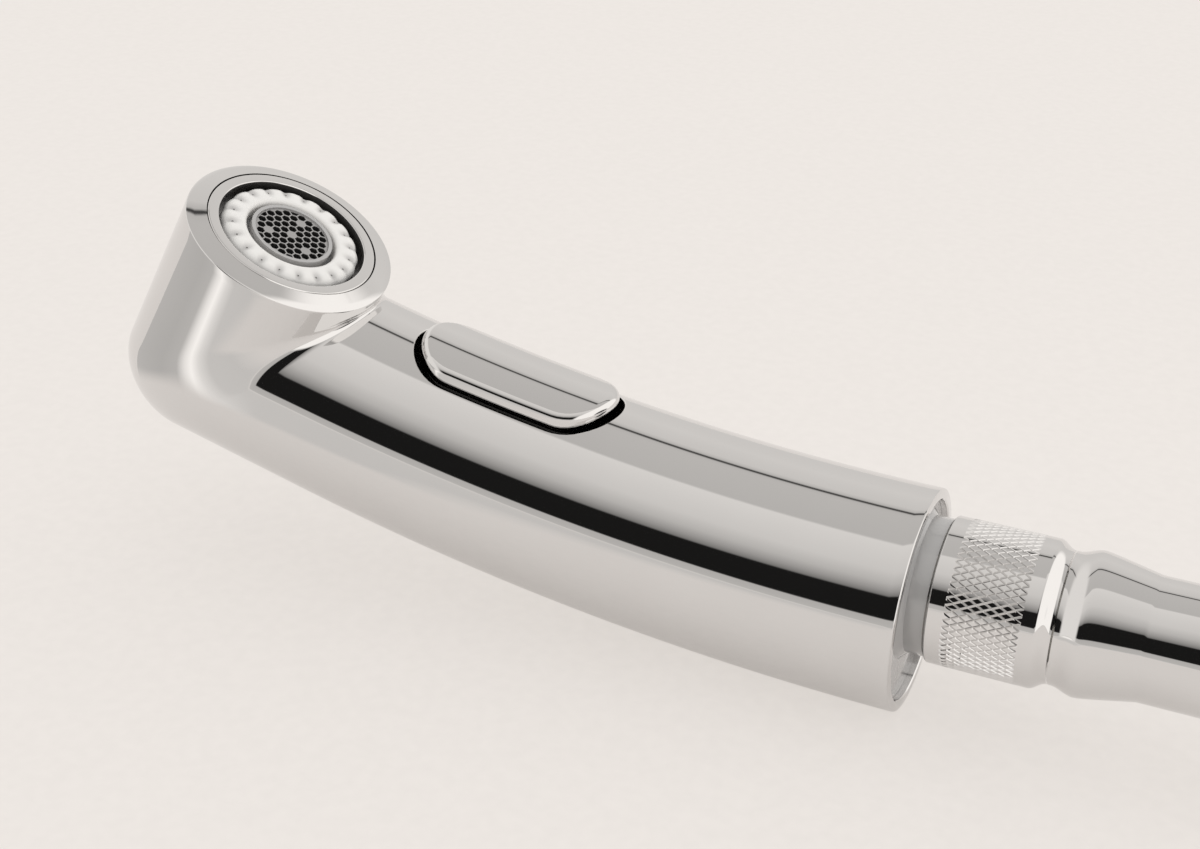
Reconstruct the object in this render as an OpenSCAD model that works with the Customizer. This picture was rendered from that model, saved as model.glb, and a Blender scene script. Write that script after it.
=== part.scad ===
// Curved hand spray for a kitchen tap, with its push button, spray face, inner water way and hose union.
// The hose axis is X, the head rises to +Z at the -X end and the rear rim lies in the plane X = 0.
// Sizes are in millimetres and angles in degrees.

/* [Handle] */
// Outer radius of the handle and of the head
handle_radius = 18.5; // [18:0.1:19]
// Radius of the long curve along the handle
bend_radius = 417; // [400:1:440]
// Angle that the handle turns through from the rear rim to the neck
handle_arc = 14.55; // [14:0.05:15]
// Wall of the handle shell
wall = 2.3; // [2.2:0.05:2.5]
// Wall left round the rear rim
rim_wall = 1.9; // [1.8:0.05:2]
// Depth of the rim's counterbore
rim_depth = 7; // [6.5:0.1:7.5]
// Chamfer on both edges of the rear rim
rim_chamfer = 0.35; // [0.2:0.05:0.5]

/* [Head] */
// Angle from the neck's direction to the spray's direction
head_bend = 103.65; // [102:0.05:105]
// Length from the neck's corner to the spray face
head_length = 26.75; // [26.4:0.05:27.2]
// Rounding radius of the head's outer corner
corner_round = 12.3; // [10:0.1:14]
// Radius of the opening in the spray face
face_bore = 15.22; // [15.1:0.01:15.3]
// Drop of the sloping lip from the opening to the head's edge
lip_fall = 0.95; // [0.7:0.05:1.2]
// Rounding at the lip's outer edge
lip_edge = 0.3; // [0.2:0.05:0.5]
// Depth from the spray face to the ledge that carries the inserts
insert_depth = 13.75; // [13.5:0.05:14]

/* [Spray face] */
// Seam between the lip and the chrome ring
seam_gap = 0.17; // [0.12:0.01:0.22]
// Inner radius of the chrome ring
ring_inner = 13.05; // [13:0.01:13.1]
// Radius of the white nozzle plate at its top
plate_radius = 12.4; // [12.3:0.01:12.5]
// Radius of the hole through the nozzle plate
plate_bore = 8; // [7.98:0.01:8.02]
// Number of spray nozzles
nozzle_count = 20; // [16:1:22]
// Radius of the circle that the nozzles stand on
nozzle_circle = 10.5; // [10.3:0.05:10.7]
// Radius of one nozzle hole
nozzle_hole = 0.5; // [0.4:0.05:0.6]
// Radius of the round dimple over each nozzle
nozzle_dimple = 1.1; // [0.9:0.05:1.2]
// Turn of the first nozzle from the head's front line
nozzle_phase = 4.5; // [0:0.5:18]
// Outer radius of the aerator sleeve
aerator_radius = 7.25; // [7.2:0.01:7.3]
// Wall of the aerator sleeve
aerator_wall = 0.65; // [0.6:0.01:0.7]
// Distance between the middles of two honeycomb cells
cell_pitch = 1.58; // [1.5:0.02:1.7]
// Wall between two honeycomb cells
cell_wall = 0.3; // [0.25:0.05:0.4]
// Height of the honeycomb
comb_height = 4.1; // [3.8:0.1:4.4]

/* [Push button] */
// Distance along the handle from the rear rim to the middle of the button
button_place = 75.5; // [74:0.5:77]
// Length of the opening for the button
opening_length = 40.2; // [40:0.1:40.4]
// Width of the opening for the button
opening_width = 19.1; // [19:0.05:19.2]
// Gap between the opening and the button, all round
button_gap = 1.1; // [1.05:0.01:1.15]
// Height of the button's top above the handle's surface
button_rise = 0.2; // [0.1:0.05:0.4]
// Rounding along the button's top edges
button_round = 1; // [0.6:0.1:1.2]
// Travel of the button
button_travel = 2.5; // [2:0.1:2.5]
// Depth of the black frame below the handle's surface
frame_sink = 1.2; // [1:0.1:1.4]

/* [Diverter] */
// Radius of the diverter barrel
barrel_radius = 8; // [7.6:0.1:8.2]
// Radius of the spool's bore
spool_bore = 3.6; // [3.58:0.01:3.65]
// Radius of the water pipes to the head
outlet_radius = 3.4; // [3.3:0.05:3.5]
// Sideways distance of each outlet pipe from the middle
outlet_spread = 4.5; // [4.4:0.05:4.6]
// Wall of every inner water pipe
pipe_wall = 0.9; // [0.8:0.05:1]
// Radius of the pipe from the hose to the diverter
inlet_radius = 5.5; // [5.3:0.05:5.6]

/* [Hose union] */
// Space left between the rear collar's flange and the rim's bore, on the side that the hose leans to
rim_margin = 0.7; // [0.6:0.05:0.9]
// Outside radius of the threaded nipple, as on a half inch pipe thread
thread_radius = 10.48; // [10.48:0.01:10.5]
// Length of the nipple beyond the rear rim
nipple_reach = 11; // [10.8:0.1:11.2]
// Outer radius of the union nut
nut_radius = 12.03; // [11.95:0.01:12.2]
// Distance from the rear rim to the nut's front face
nut_start = 3.3; // [3.2:0.05:3.4]
// Length of the union nut
nut_length = 18.9; // [18.8:0.05:19]
// Distance from the rear rim to the knurled band
knurl_start = 6.15; // [6:0.05:6.5]
// Length of the knurled band
knurl_length = 11.4; // [10.8:0.1:11.6]
// Number of diamonds round the knurled band
knurl_count = 63; // [58:1:66]
// Number of diamonds along the knurled band
knurl_rows = 5; // [4:1:6]
// Depth of the knurl's grooves
knurl_depth = 0.25; // [0.15:0.05:0.3]

/* [Ferrule] */
// Radius of the groove in front of the bell
groove_radius = 10.55; // [10.5:0.05:10.6]
// Radius of the bell's crest
bell_radius = 11.7; // [11.5:0.05:11.9]
// Radius of the straight sleeve behind the bell
sleeve_radius = 10; // [9.9:0.05:10.2]
// Distance from the rear rim to the bell's crest
bell_place = 26.6; // [26.4:0.1:26.8]
// Distance from the rear rim to the start of the straight sleeve
sleeve_start = 35.8; // [35.5:0.1:36.2]
// Distance from the rear rim to the open end of the sleeve
sleeve_end = 72; // [68:1:76]
// Radius of the hose socket in the sleeve
socket_radius = 8.6; // [8.5:0.05:8.7]

/* [Clearances] */
// Clearance between seated pieces, on the radius
seat_fit = 0.05; // [0.04:0.01:0.06]
// Clearance between the spool's lands and their bore
slide_fit = 0.1; // [0.08:0.01:0.1]
// Free gap between faces that don't carry each other
free_gap = 0.3; // [0.25:0.05:0.35]

/* [Hidden] */
$fn = 72;
steel = [0.8, 0.8, 0.82];
chrome = [0.86, 0.86, 0.87];
white = [0.94, 0.94, 0.92];
grey = [0.62, 0.62, 0.6];
black = [0.08, 0.08, 0.08];
brass = [0.78, 0.62, 0.3];
tool = 60;
hair = 0.02;
right_angle = 90;
half = 0.5;

// Handle and head
cavity = handle_radius - wall;
cavity_step = 0.1;
cavity_lap = 3;
over = 1;
neck_length = handle_radius * tan(head_bend / 2);
head_lean = handle_arc + head_bend - right_angle;
neck_x = -bend_radius * sin(handle_arc) - neck_length * cos(handle_arc);
neck_z = bend_radius * (1 - cos(handle_arc)) + neck_length * sin(handle_arc);
corner_half = (2 * right_angle - head_bend) / 2;
corner_reach = corner_round / tan(corner_half);
corner_steps = 8;
corner_facets = 48;
corner_skin = 0.06;
bend_facets = 360;
ledge = head_length - insert_depth;
head_cavity = 14.4;
head_cavity_depth = 10.5;
rim_bore = handle_radius - rim_wall;
collar_radius = 11.3;
collar_flare = 1.4;
hose_offset = rim_bore - collar_radius - collar_flare - rim_margin;

// Spray face
ring_outer = face_bore - seam_gap;
ring_height = 7.25;
ring_shoulder = 3.75;
ring_edge = 0.2;
plate_base = head_length - ring_height;
plate_flange = 1.7;
plate_flange_radius = ring_inner - slide_fit;
plate_neck = plate_radius + slide_fit;
plate_fall = 0.4;
plate_edge = 0.35;
plate_crown = 1.6;
sleeve_drop = 0.2;
sleeve_top = head_length - sleeve_drop;
comb_top = sleeve_top - free_gap;
comb_base = comb_top - comb_height;
aerator_bore = aerator_radius - aerator_wall;
stack_radius = aerator_bore - seat_fit;
screen_height = 0.4;
screen_hole = 0.4;
screen_pitch = 1.2;
screen_base = comb_base - screen_height;
regulator_height = 2.5;
regulator_base = screen_base - regulator_height;
regulator_slots = 8;
regulator_slot = 0.8;
regulator_circle = 3.9;
regulator_core = 2;
aerator_floor = 0.8;
aerator_base = regulator_base - aerator_floor;
aerator_mouth = 5.4;
seal_height = 0.8;
seal_inner = 6.1;
tube_rise = 4;
tube_top = plate_base + tube_rise;
tube_radius = plate_bore - seat_fit;
tube_bore = aerator_radius + seat_fit;
channel_wall = 0.8;
channel_inner = tube_radius + channel_wall;
channel_outer = 12.2;
channel_depth = 4.5;
head_seal_wire = 0.8;
head_seal_rise = 2;
head_seal_place = ledge + head_seal_rise;
head_seal_ring = face_bore - seat_fit - head_seal_wire;
comb_range = ceil(stack_radius / cell_pitch) + 1;
row_step = cell_pitch * sin(60);
pin_circle = 4.18;
pin_angle = 101;
pin_reach = 0.6;
cell_turn = 30;

// Button and diverter
function turn_of(length) = length / bend_radius * 180 / PI;
button_angle = turn_of(button_place);
button_length = opening_length - 2 * button_gap;
button_width = opening_width - 2 * button_gap;
button_top = handle_radius + button_rise;
button_wall = 1.5;
button_roof = 2.4;
boss_radius = 3.4;
boss_height = 3.6;
deck_sink = 10;
deck_height = handle_radius - deck_sink;
lift_gap = 1;
button_skirt = deck_height + button_travel + lift_gap;
deck_thick = 2.5;
deck_length = 44;
deck_gap = 0.25;
deck_width = 2 * sqrt((cavity - deck_gap) ^ 2 - deck_height ^ 2);
frame_wall = button_gap - free_gap - seat_fit;
frame_length = opening_length - 2 * seat_fit;
frame_width = opening_width - 2 * seat_fit;
frame_lip = 1.8;
frame_base = 1.7;
spool_radius = 1.8;
land_radius = spool_bore - slide_fit;
land_height = 3;
inlet_way = 2.3;
barrel_wall = 1.7;
spool_floor = inlet_way + land_height + button_travel + lift_gap;
barrel_floor = spool_floor + barrel_wall;
way_lift = 3.7;
outlet_way_radius = 1.2;
way_length = 9;
land_places = [-inlet_way - land_height, way_lift + outlet_way_radius];
spool_top = button_top - button_roof - boss_height;
oring_wire = 0.55;
oring_ring = spool_bore - seat_fit - oring_wire;
pipe_lap = 1.1;
flange_back = 4;
inlet_start = turn_of(rim_depth + flange_back);
inlet_end = button_angle - turn_of(barrel_radius - pipe_lap);
outlet_start = button_angle + turn_of(way_length);
port_reach = 15;
port_wall = 1.5;
manifold_radius = 8.6;
manifold_lap = 3;
manifold_reach = neck_length + manifold_lap;
manifold_head = 10.5;
manifold_flange = 5;
manifold_foot = 9.5;
way_radius = outlet_radius - pipe_wall;
head_way = 2.3;
spray_port = 10.3;
spray_hole = 1.3;
spray_level = ledge - manifold_flange * half;

// Button spring
spring_turns = 4;
spring_wire = 0.35;
spring_ring = 5.1;
spring_sides = 6;
spring_steps = 8;
spring_low = deck_height + spring_wire;
spring_high = button_top - button_roof - spring_wire;

// Hose union
nipple_bore = 7.5;
collar_face = 1.2;
collar_neck = nut_start - free_gap;
flange_radius = 12.6;
adapter_seat = 2;
adapter_tail = 9;
adapter_throat = 4.5;
adapter_depth = rim_depth + flange_back + port_reach * half;
adapter_seal_wire = 0.9;
adapter_seal_ring = thread_radius - adapter_seal_wire;
valve_radius = nipple_bore - seat_fit;
valve_bore = 5.6;
valve_back = rim_depth + adapter_seat;
valve_front = 4;
valve_seat = 4;
valve_lip = 1.2;
valve_guide = 1.2;
valve_windows = 6;
valve_window = 0.75;
valve_window_circle = 3.6;
stem_radius = 1;
poppet_radius = 4.8;
poppet_height = 1.4;
stem_tail = 1;
stem_back = valve_back + stem_tail;
valve_spring_ring = 2.4;
valve_spring_wire = 0.3;
valve_spring_turns = 4;
filter_height = 0.6;
filter_flange = 9.3;
filter_net = 6.4;
filter_hole = 0.45;
filter_pitch = 1.3;
washer_height = 1.8;
washer_bore = 4.6;
washer_start = nipple_reach + filter_height;
tail_start = washer_start + washer_height;
tail_flange = 2;
tail_flange_radius = 9.8;
tail_neck = 7.2;
tail_barb = 6.4;
tail_core = 5.8;
tail_bore = 4.2;
tail_end = 60;
barb_count = 6;
barb_pitch = 4;
barb_gap = 2;
slip_height = 0.8;
slip_start = tail_start + tail_flange;
nut_shoulder = slip_start + slip_height;
nut_end = nut_start + nut_length;
nut_bore = thread_radius + seat_fit;
nut_neck = tail_neck + slide_fit;
nut_tip = 1.45;
nut_taper = 2.2;
nut_chamfer = 0.25;
thread_pitch = 1.814;
bell_start = nut_end + free_gap;
bell_wall = 4.5;
barb_start = bell_start + bell_wall + barb_gap;
groove_width = 1;
sleeve_edge = 0.4;
bell_steps = 8;

// Stands what follows in the neck's frame: X runs back along the neck, Z to the inside of the bend.
module neck_frame() {
    translate([neck_x, 0, neck_z]) rotate([0, handle_arc, 0]) children();
}

// Stands what follows in the head's frame, with Z along the spray's direction.
module head_frame() {
    translate([neck_x, 0, neck_z]) rotate([0, head_lean, 0]) children();
}

// Stands what follows on the handle's curve at an angle, with Z to the middle of the bend.
module bend_frame(angle) {
    translate([0, 0, bend_radius]) rotate([0, angle, 0]) translate([0, 0, -bend_radius]) children();
}

// Stands what follows on the hose axis, with Z along the hose and its zero at the rear rim.
module hose_frame() {
    translate([0, 0, hose_offset]) rotate([0, right_angle, 0]) children();
}

// Sweeps a flat shape along the handle's curve between two angles. X of the shape points out of the bend.
module sweep(from, to) {
    translate([0, 0, bend_radius]) rotate([right_angle, 0, 0])
        rotate_extrude(angle = to - from, start = 3 * right_angle - to, $fn = bend_facets) children();
}

// A round bar along the handle's curve, raised and set sideways from its axis.
module bent_bar(radius, from, to, rise = 0, side = 0) {
    sweep(from, to) translate([bend_radius - rise, side]) circle(radius);
}

// A tube between two heights.
module ring(outer, inner, low, high) {
    difference() {
        translate([0, 0, low]) cylinder(r = outer, h = high - low);
        translate([0, 0, low - over]) cylinder(r = inner, h = high - low + 2 * over);
    }
}

// A solid ring of round section.
module seal(ring_radius, wire) {
    rotate_extrude() translate([ring_radius, 0]) circle(wire, $fn = 24);
}

// The square slot that a solid ring of round section lies in, open outwards.
module seal_slot(ring_radius, wire) {
    ring(ring_radius + 2 * wire, ring_radius - wire, -wire - slide_fit, wire + slide_fit);
}

// A flat shape with straight sides and round ends, along X.
module stadium(length, width) {
    reach = (length - width) / 2;
    square([2 * reach, width], center = true);
    for (side = [-1, 1]) translate([side * reach, 0]) circle(d = width);
}

// An upright wall on a stadium.
module stadium_bar(length, width, low, high) {
    translate([0, 0, low]) linear_extrude(high - low) stadium(length, width);
}

// A point on the head corner's outer line in the neck's frame: k runs from 0 on the neck to 1 on the head.
function corner_middle() = [-neck_length + corner_reach, -handle_radius + corner_round];
function corner_point(k) =
    let (turn = 3 * right_angle - k * head_bend)
    corner_middle() + corner_round * [cos(turn), sin(turn)];
function corner_line() = concat(
    [[neck_length, -handle_radius]],
    [for (k = [0:corner_steps]) corner_point(k / corner_steps)],
    [[neck_length, handle_radius] + 2 * handle_radius * [-sin(head_bend), -cos(head_bend)]]);

// The solid corner between the neck and the head: ellipses that all pass through the inner crease.
module corner_solid() {
    crease = [neck_length, handle_radius];
    hull() for (point = corner_line()) {
        span = norm(point - crease);
        middle = (point + crease) / 2;
        lean = -atan2(point[1] - crease[1], point[0] - crease[0]);
        translate([middle[0], 0, middle[1]]) rotate([0, lean, 0])
            linear_extrude(hair, center = true) scale([span / 2 + corner_skin, handle_radius + corner_skin])
                circle(1, $fn = corner_facets);
    }
}

// Metal shell of the handle and head in one piece, open at the rear rim, the button and the spray face.
module handle_shell() {
    color(chrome) difference() {
        union() {
            bent_bar(handle_radius, 0, handle_arc);
            neck_frame() corner_solid();
            head_frame() rotate_extrude() polygon([
                [0, neck_length], [handle_radius, neck_length],
                [handle_radius, head_length - lip_fall - lip_edge],
                [handle_radius - lip_edge, head_length - lip_fall],
                [face_bore, head_length], [0, head_length]]);
        }
        bent_bar(cavity, 0, handle_arc);
        neck_frame() rotate([0, right_angle, 0]) cylinder(r = cavity - cavity_step, h = neck_length + cavity_lap);
        head_frame() translate([0, 0, -head_cavity_depth]) cylinder(r = head_cavity, h = tool);
        head_frame() translate([0, 0, ledge]) cylinder(r = face_bore, h = tool);
        rotate([0, -right_angle, 0]) cylinder(r = rim_bore, h = rim_depth);
        rotate([0, right_angle, 0]) translate([0, 0, -rim_chamfer])
            cylinder(r1 = rim_bore, r2 = rim_bore + 2 * rim_chamfer, h = 2 * rim_chamfer);
        bend_frame(button_angle) stadium_bar(opening_length, opening_width, deck_height, tool);
    }
}

// Chrome ring that holds the nozzle plate in the head.
module face_ring() {
    color(chrome) head_frame() rotate_extrude() polygon([
        [ring_inner, plate_base], [ring_outer, plate_base], [ring_outer, head_length - ring_edge],
        [ring_outer - ring_edge, head_length], [ring_inner + ring_edge, head_length],
        [ring_inner, head_length - ring_edge], [ring_inner, head_length - ring_shoulder],
        [plate_neck, head_length - ring_shoulder], [plate_neck, plate_base + plate_flange + slide_fit],
        [ring_inner, plate_base + plate_flange + slide_fit]]);
}

// White plate with the ring of spray nozzles.
module nozzle_plate() {
    color(white) head_frame() difference() {
        rotate_extrude() polygon([
            [plate_bore, plate_base], [plate_flange_radius, plate_base],
            [plate_flange_radius, plate_base + plate_flange], [plate_radius, plate_base + plate_flange],
            [plate_radius, head_length - plate_fall - plate_edge],
            [plate_radius - plate_edge, head_length - plate_fall],
            [plate_radius - plate_crown, head_length], [plate_bore + plate_edge, head_length],
            [plate_bore, head_length - plate_edge]]);
        for (k = [0:nozzle_count - 1]) rotate(nozzle_phase + k * 360 / nozzle_count)
            translate([nozzle_circle, 0, 0]) {
                translate([0, 0, plate_base - over])
                    cylinder(r = nozzle_hole, h = ring_height + 2 * over, $fn = 16);
                translate([0, 0, head_length + nozzle_dimple * half]) sphere(nozzle_dimple, $fn = 24);
            }
    }
}

// Plastic part that leads water to the nozzle plate and to the aerator.
module spray_distributor() {
    color(grey) head_frame() difference() {
        union() {
            translate([0, 0, ledge]) cylinder(r = ring_outer, h = plate_base - ledge);
            translate([0, 0, ledge]) cylinder(r = tube_radius, h = tube_top - ledge);
        }
        translate([0, 0, aerator_base - seal_height]) cylinder(r = tube_bore, h = tool);
        translate([0, 0, ledge - over]) cylinder(r = aerator_mouth, h = tool);
        ring(channel_outer, channel_inner, plate_base - channel_depth, plate_base + over);
        translate([0, -spray_port, ledge - over]) cylinder(r = spray_hole, h = channel_depth);
        translate([0, 0, head_seal_place]) seal_slot(head_seal_ring, head_seal_wire);
    }
}

// Rubber ring between the distributor and the head.
module distributor_seal() {
    color(black) head_frame() translate([0, 0, head_seal_place]) seal(head_seal_ring, head_seal_wire);
}

// Grey sleeve that holds the aerator's parts.
module aerator_sleeve() {
    color(grey) head_frame() difference() {
        translate([0, 0, aerator_base]) cylinder(r = aerator_radius, h = sleeve_top - aerator_base);
        translate([0, 0, regulator_base]) cylinder(r = aerator_bore, h = tool);
        translate([0, 0, aerator_base - over]) cylinder(r = aerator_mouth, h = tool);
    }
}

// Flat rubber seal under the aerator sleeve.
module aerator_seal() {
    color(black) head_frame() ring(aerator_radius, seal_inner, aerator_base - seal_height, aerator_base);
}

// True where a honeycomb cell is closed by one of its four pins.
function is_pin(x, y) = norm([x, y]) < pin_reach
    || min([for (k = [0:2]) norm([x, y] - pin_circle * [cos(pin_angle + k * 120), sin(pin_angle + k * 120)])])
       < pin_reach;

// Six-sided holes of a honeycomb inside a circle.
module comb_holes(reach) {
    for (row = [-comb_range:comb_range], column = [-comb_range:comb_range]) {
        x = (column + (row % 2 == 0 ? 0 : half)) * cell_pitch;
        y = row * row_step;
        if (norm([x, y]) < reach && !is_pin(x, y)) translate([x, y])
            rotate(cell_turn) circle(r = (cell_pitch - cell_wall) / sqrt(3), $fn = 6);
    }
}

// Honeycomb that straightens the aerated stream.
module stream_comb() {
    color(grey) head_frame() translate([0, 0, comb_base]) linear_extrude(comb_height) difference() {
        circle(stack_radius);
        intersection() {
            circle(stack_radius - cell_wall);
            comb_holes(stack_radius - cell_wall);
        }
    }
}

// A flat disc with a square net of round holes.
module net_disc(radius, net, hole, pitch, height) {
    count = floor(net / pitch);
    linear_extrude(height) difference() {
        circle(radius);
        for (row = [-count:count], column = [-count:count])
            if (norm([row, column]) * pitch < net - hole) translate([row, column] * pitch)
                circle(hole, $fn = 8);
    }
}

// Perforated disc under the honeycomb.
module aerator_screen() {
    color(steel) head_frame() translate([0, 0, screen_base])
        net_disc(stack_radius, stack_radius - screen_pitch * half, screen_hole, screen_pitch, screen_height);
}

// Flow regulator disc with slots round its core.
module flow_regulator() {
    color(white) head_frame() difference() {
        translate([0, 0, regulator_base]) cylinder(r = stack_radius, h = regulator_height);
        for (k = [0:regulator_slots - 1]) rotate(k * 360 / regulator_slots)
            translate([regulator_circle, 0, regulator_base - over]) cylinder(r = regulator_slot, h = tool, $fn = 16);
        translate([0, 0, screen_base - aerator_floor]) cylinder(r = regulator_core, h = tool);
    }
}

// Inner elbow that carries both water ways from the pipes into the head.
module head_manifold() {
    color(grey) difference() {
        union() {
            neck_frame() rotate([0, right_angle, 0]) cylinder(r = manifold_radius, h = manifold_reach);
            head_frame() translate([0, 0, -manifold_foot])
                cylinder(r = manifold_head, h = ledge + manifold_foot);
            head_frame() translate([0, 0, ledge - manifold_flange])
                cylinder(r = head_cavity - seat_fit, h = manifold_flange);
        }
        head_frame() translate([0, 0, ledge]) cylinder(r = cavity, h = tool);
        for (side = [-1, 1]) {
            bent_bar(outlet_radius + seat_fit, outlet_start, handle_arc, side = side * outlet_spread);
            neck_frame() translate([-way_radius, side * outlet_spread, 0]) rotate([0, right_angle, 0])
                cylinder(r = way_radius, h = way_radius + neck_length + over);
            head_frame() translate([0, side * outlet_spread, 0])
                cylinder(r = head_way, h = side < 0 ? spray_level : tool);
        }
        head_frame() translate([0, -outlet_spread, spray_level]) rotate([right_angle, 0, 0])
            cylinder(r = spray_hole, h = spray_port - outlet_spread);
        head_frame() translate([0, -spray_port, spray_level]) cylinder(r = spray_hole, h = tool);
    }
}

// One of the two pipes from the diverter to the head.
module outlet_pipe(side) {
    sweep(outlet_start, handle_arc) translate([bend_radius, side * outlet_spread]) difference() {
        circle(outlet_radius);
        circle(way_radius);
    }
}

// Pipe for the aerated stream.
module stream_pipe() {
    color(white) outlet_pipe(1);
}

// Pipe for the spray.
module spray_pipe() {
    color(white) outlet_pipe(-1);
}

// Slanted passage from the spool's bore to one of the outlet pipes.
module outlet_way(side) {
    rise = side * way_lift;
    run = sqrt(way_length ^ 2 + outlet_spread ^ 2);
    translate([0, 0, -rise]) rotate([0, atan2(rise, run), -side * atan2(outlet_spread, way_length)])
        rotate([0, -right_angle, 0]) cylinder(r = outlet_way_radius, h = norm([run, rise]));
}

// Valve barrel under the button, with the deck that carries the button's frame.
module diverter_barrel() {
    color(grey) difference() {
        union() {
            bend_frame(button_angle) {
                translate([0, 0, -barrel_floor]) cylinder(r = barrel_radius, h = barrel_floor + deck_height);
                rotate([0, right_angle, 0]) translate([-hose_offset * half, 0, 0])
                    cylinder(r = inlet_radius + port_wall, h = port_reach);
                rotate([0, -right_angle, 0]) cylinder(r = manifold_radius, h = port_reach);
            }
            intersection() {
                bend_frame(button_angle)
                    stadium_bar(deck_length, deck_width, deck_height - deck_thick, deck_height);
                bent_bar(cavity - seat_fit, inlet_start, handle_arc);
            }
        }
        bend_frame(button_angle) {
            translate([0, 0, -spool_floor]) cylinder(r = spool_bore, h = tool);
            rotate([0, right_angle, 0]) cylinder(r = inlet_way, h = tool);
            for (side = [-1, 1]) outlet_way(side);
        }
        bent_bar(inlet_radius + seat_fit, inlet_start, inlet_end, hose_offset * half);
        for (side = [-1, 1])
            bent_bar(outlet_radius + seat_fit, outlet_start, handle_arc, side = side * outlet_spread);
    }
}

// Black frame round the button, sunk below the handle's surface.
module button_frame() {
    color(black) difference() {
        intersection() {
            bend_frame(button_angle) union() {
                stadium_bar(frame_length, frame_width, deck_height, tool);
                stadium_bar(frame_length + 2 * frame_lip, frame_width + 2 * frame_lip,
                            deck_height, deck_height + frame_base);
            }
            bent_bar(handle_radius - frame_sink, inlet_start, handle_arc);
        }
        bend_frame(button_angle)
            stadium_bar(frame_length - 2 * frame_wall, frame_width - 2 * frame_wall,
                        deck_height - over, tool);
    }
}

// Section of the button's top, across the handle: X points out of the bend.
module button_section() {
    side = button_width / 2;
    edge = bend_radius - button_top;
    translate([edge + button_round, -side]) square([tool * half, button_width]);
    translate([edge, button_round - side]) square([tool * half, button_width - 2 * button_round]);
    for (turn = [-1, 1]) translate([edge + button_round, turn * (side - button_round)])
        circle(button_round, $fn = 32);
}

// Chrome push button that follows the handle's curve.
module diverter_button() {
    color(chrome) difference() {
        intersection() {
            bend_frame(button_angle) stadium_bar(button_length, button_width, button_skirt, tool);
            sweep(inlet_start, handle_arc) button_section();
        }
        difference() {
            bend_frame(button_angle)
                stadium_bar(button_length - 2 * button_wall, button_width - 2 * button_wall,
                            button_skirt - over, button_top - button_roof);
            bend_frame(button_angle) translate([0, 0, spool_top])
                cylinder(r = boss_radius, h = boss_height + over);
        }
    }
}

// Spool that the button pushes down to change the water's way.
module diverter_spool() {
    color(brass) bend_frame(button_angle) difference() {
        union() {
            translate([0, 0, land_places[0]]) cylinder(r = spool_radius, h = spool_top - land_places[0]);
            for (place = land_places) translate([0, 0, place]) cylinder(r = land_radius, h = land_height);
        }
        for (place = land_places) translate([0, 0, place + land_height / 2])
            seal_slot(oring_ring, oring_wire);
    }
}

// Rubber rings on the spool's two lands.
module spool_seals() {
    color(black) bend_frame(button_angle)
        for (place = land_places) translate([0, 0, place + land_height / 2]) seal(oring_ring, oring_wire);
}

// Points of one round section of a coil, at a turn and a height.
function coil_section(coil, wire, turn, height, sides) = [
    for (k = [0:sides - 1])
        let (lean = k * 360 / sides, reach = coil + wire * cos(lean))
        [reach * cos(turn), reach * sin(turn), height + wire * sin(lean)]];

// A closed coil of wire between two heights, as one unbroken tube with capped ends.
module coil_spring(coil, wire, low, high, turns) {
    steps = turns * spring_steps;
    sides = spring_sides;
    points = [for (i = [0:steps])
        each coil_section(coil, wire, i * 360 / spring_steps, low + (high - low) * i / steps, sides)];
    walls = [for (i = [0:steps - 1], k = [0:sides - 1])
        let (a = i * sides + k, b = i * sides + (k + 1) % sides)
        each [[a, a + sides, b], [b, a + sides, b + sides]]];
    ends = [for (k = [1:sides - 2])
        each [[0, k, k + 1], [steps * sides, steps * sides + k + 1, steps * sides + k]]];
    polyhedron(points, concat(walls, ends));
}

// The free height between two curls of a coil's wire.
function curl_gap(wire, low, high, turns) = (high - low) / turns - 2 * wire;

// Return spring of the button.
module button_spring() {
    echo(button_spring_gap = curl_gap(spring_wire, spring_low, spring_high, spring_turns));
    color(steel) bend_frame(button_angle)
        coil_spring(spring_ring, spring_wire, spring_low, spring_high, spring_turns);
}

// Pipe from the hose adapter to the diverter.
module inlet_pipe() {
    color(white) sweep(inlet_start, inlet_end) translate([bend_radius - hose_offset * half, 0]) difference() {
        circle(inlet_radius);
        circle(inlet_radius - pipe_wall);
    }
}

// Grey plug that closes the handle's end round the hose nipple.
module rear_collar() {
    color(grey) difference() {
        union() {
            rotate([0, -right_angle, 0]) translate([0, 0, collar_face])
                cylinder(r = rim_bore - seat_fit, h = rim_depth - collar_face);
            hose_frame() rotate_extrude() polygon([
                [0, -rim_depth], [collar_radius + collar_flare, -rim_depth],
                [collar_radius + collar_flare, -collar_face], [collar_radius, 0],
                [collar_radius, collar_neck], [0, collar_neck]]);
        }
        hose_frame() translate([0, 0, -tool * half]) cylinder(r = nut_bore, h = tool);
    }
}

// Brass adapter with the threaded nipple that the hose is screwed to.
module hose_adapter() {
    color(brass) difference() {
        union() {
            hose_frame() translate([0, 0, -rim_depth])
                cylinder(r = thread_radius, h = rim_depth + nipple_reach);
            hose_frame() translate([0, 0, -rim_depth - flange_back])
                cylinder(r = flange_radius, h = flange_back);
            hose_frame() translate([0, 0, -adapter_depth])
                cylinder(r = adapter_tail, h = adapter_depth - rim_depth);
        }
        hose_frame() translate([0, 0, -valve_back]) cylinder(r = nipple_bore, h = tool);
        hose_frame() translate([0, 0, -adapter_depth - over]) cylinder(r = adapter_throat, h = tool);
        bent_bar(inlet_radius + seat_fit, inlet_start, button_angle, hose_offset * half);
        hose_frame() translate([0, 0, -rim_depth * half]) seal_slot(adapter_seal_ring, adapter_seal_wire);
    }
}

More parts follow.
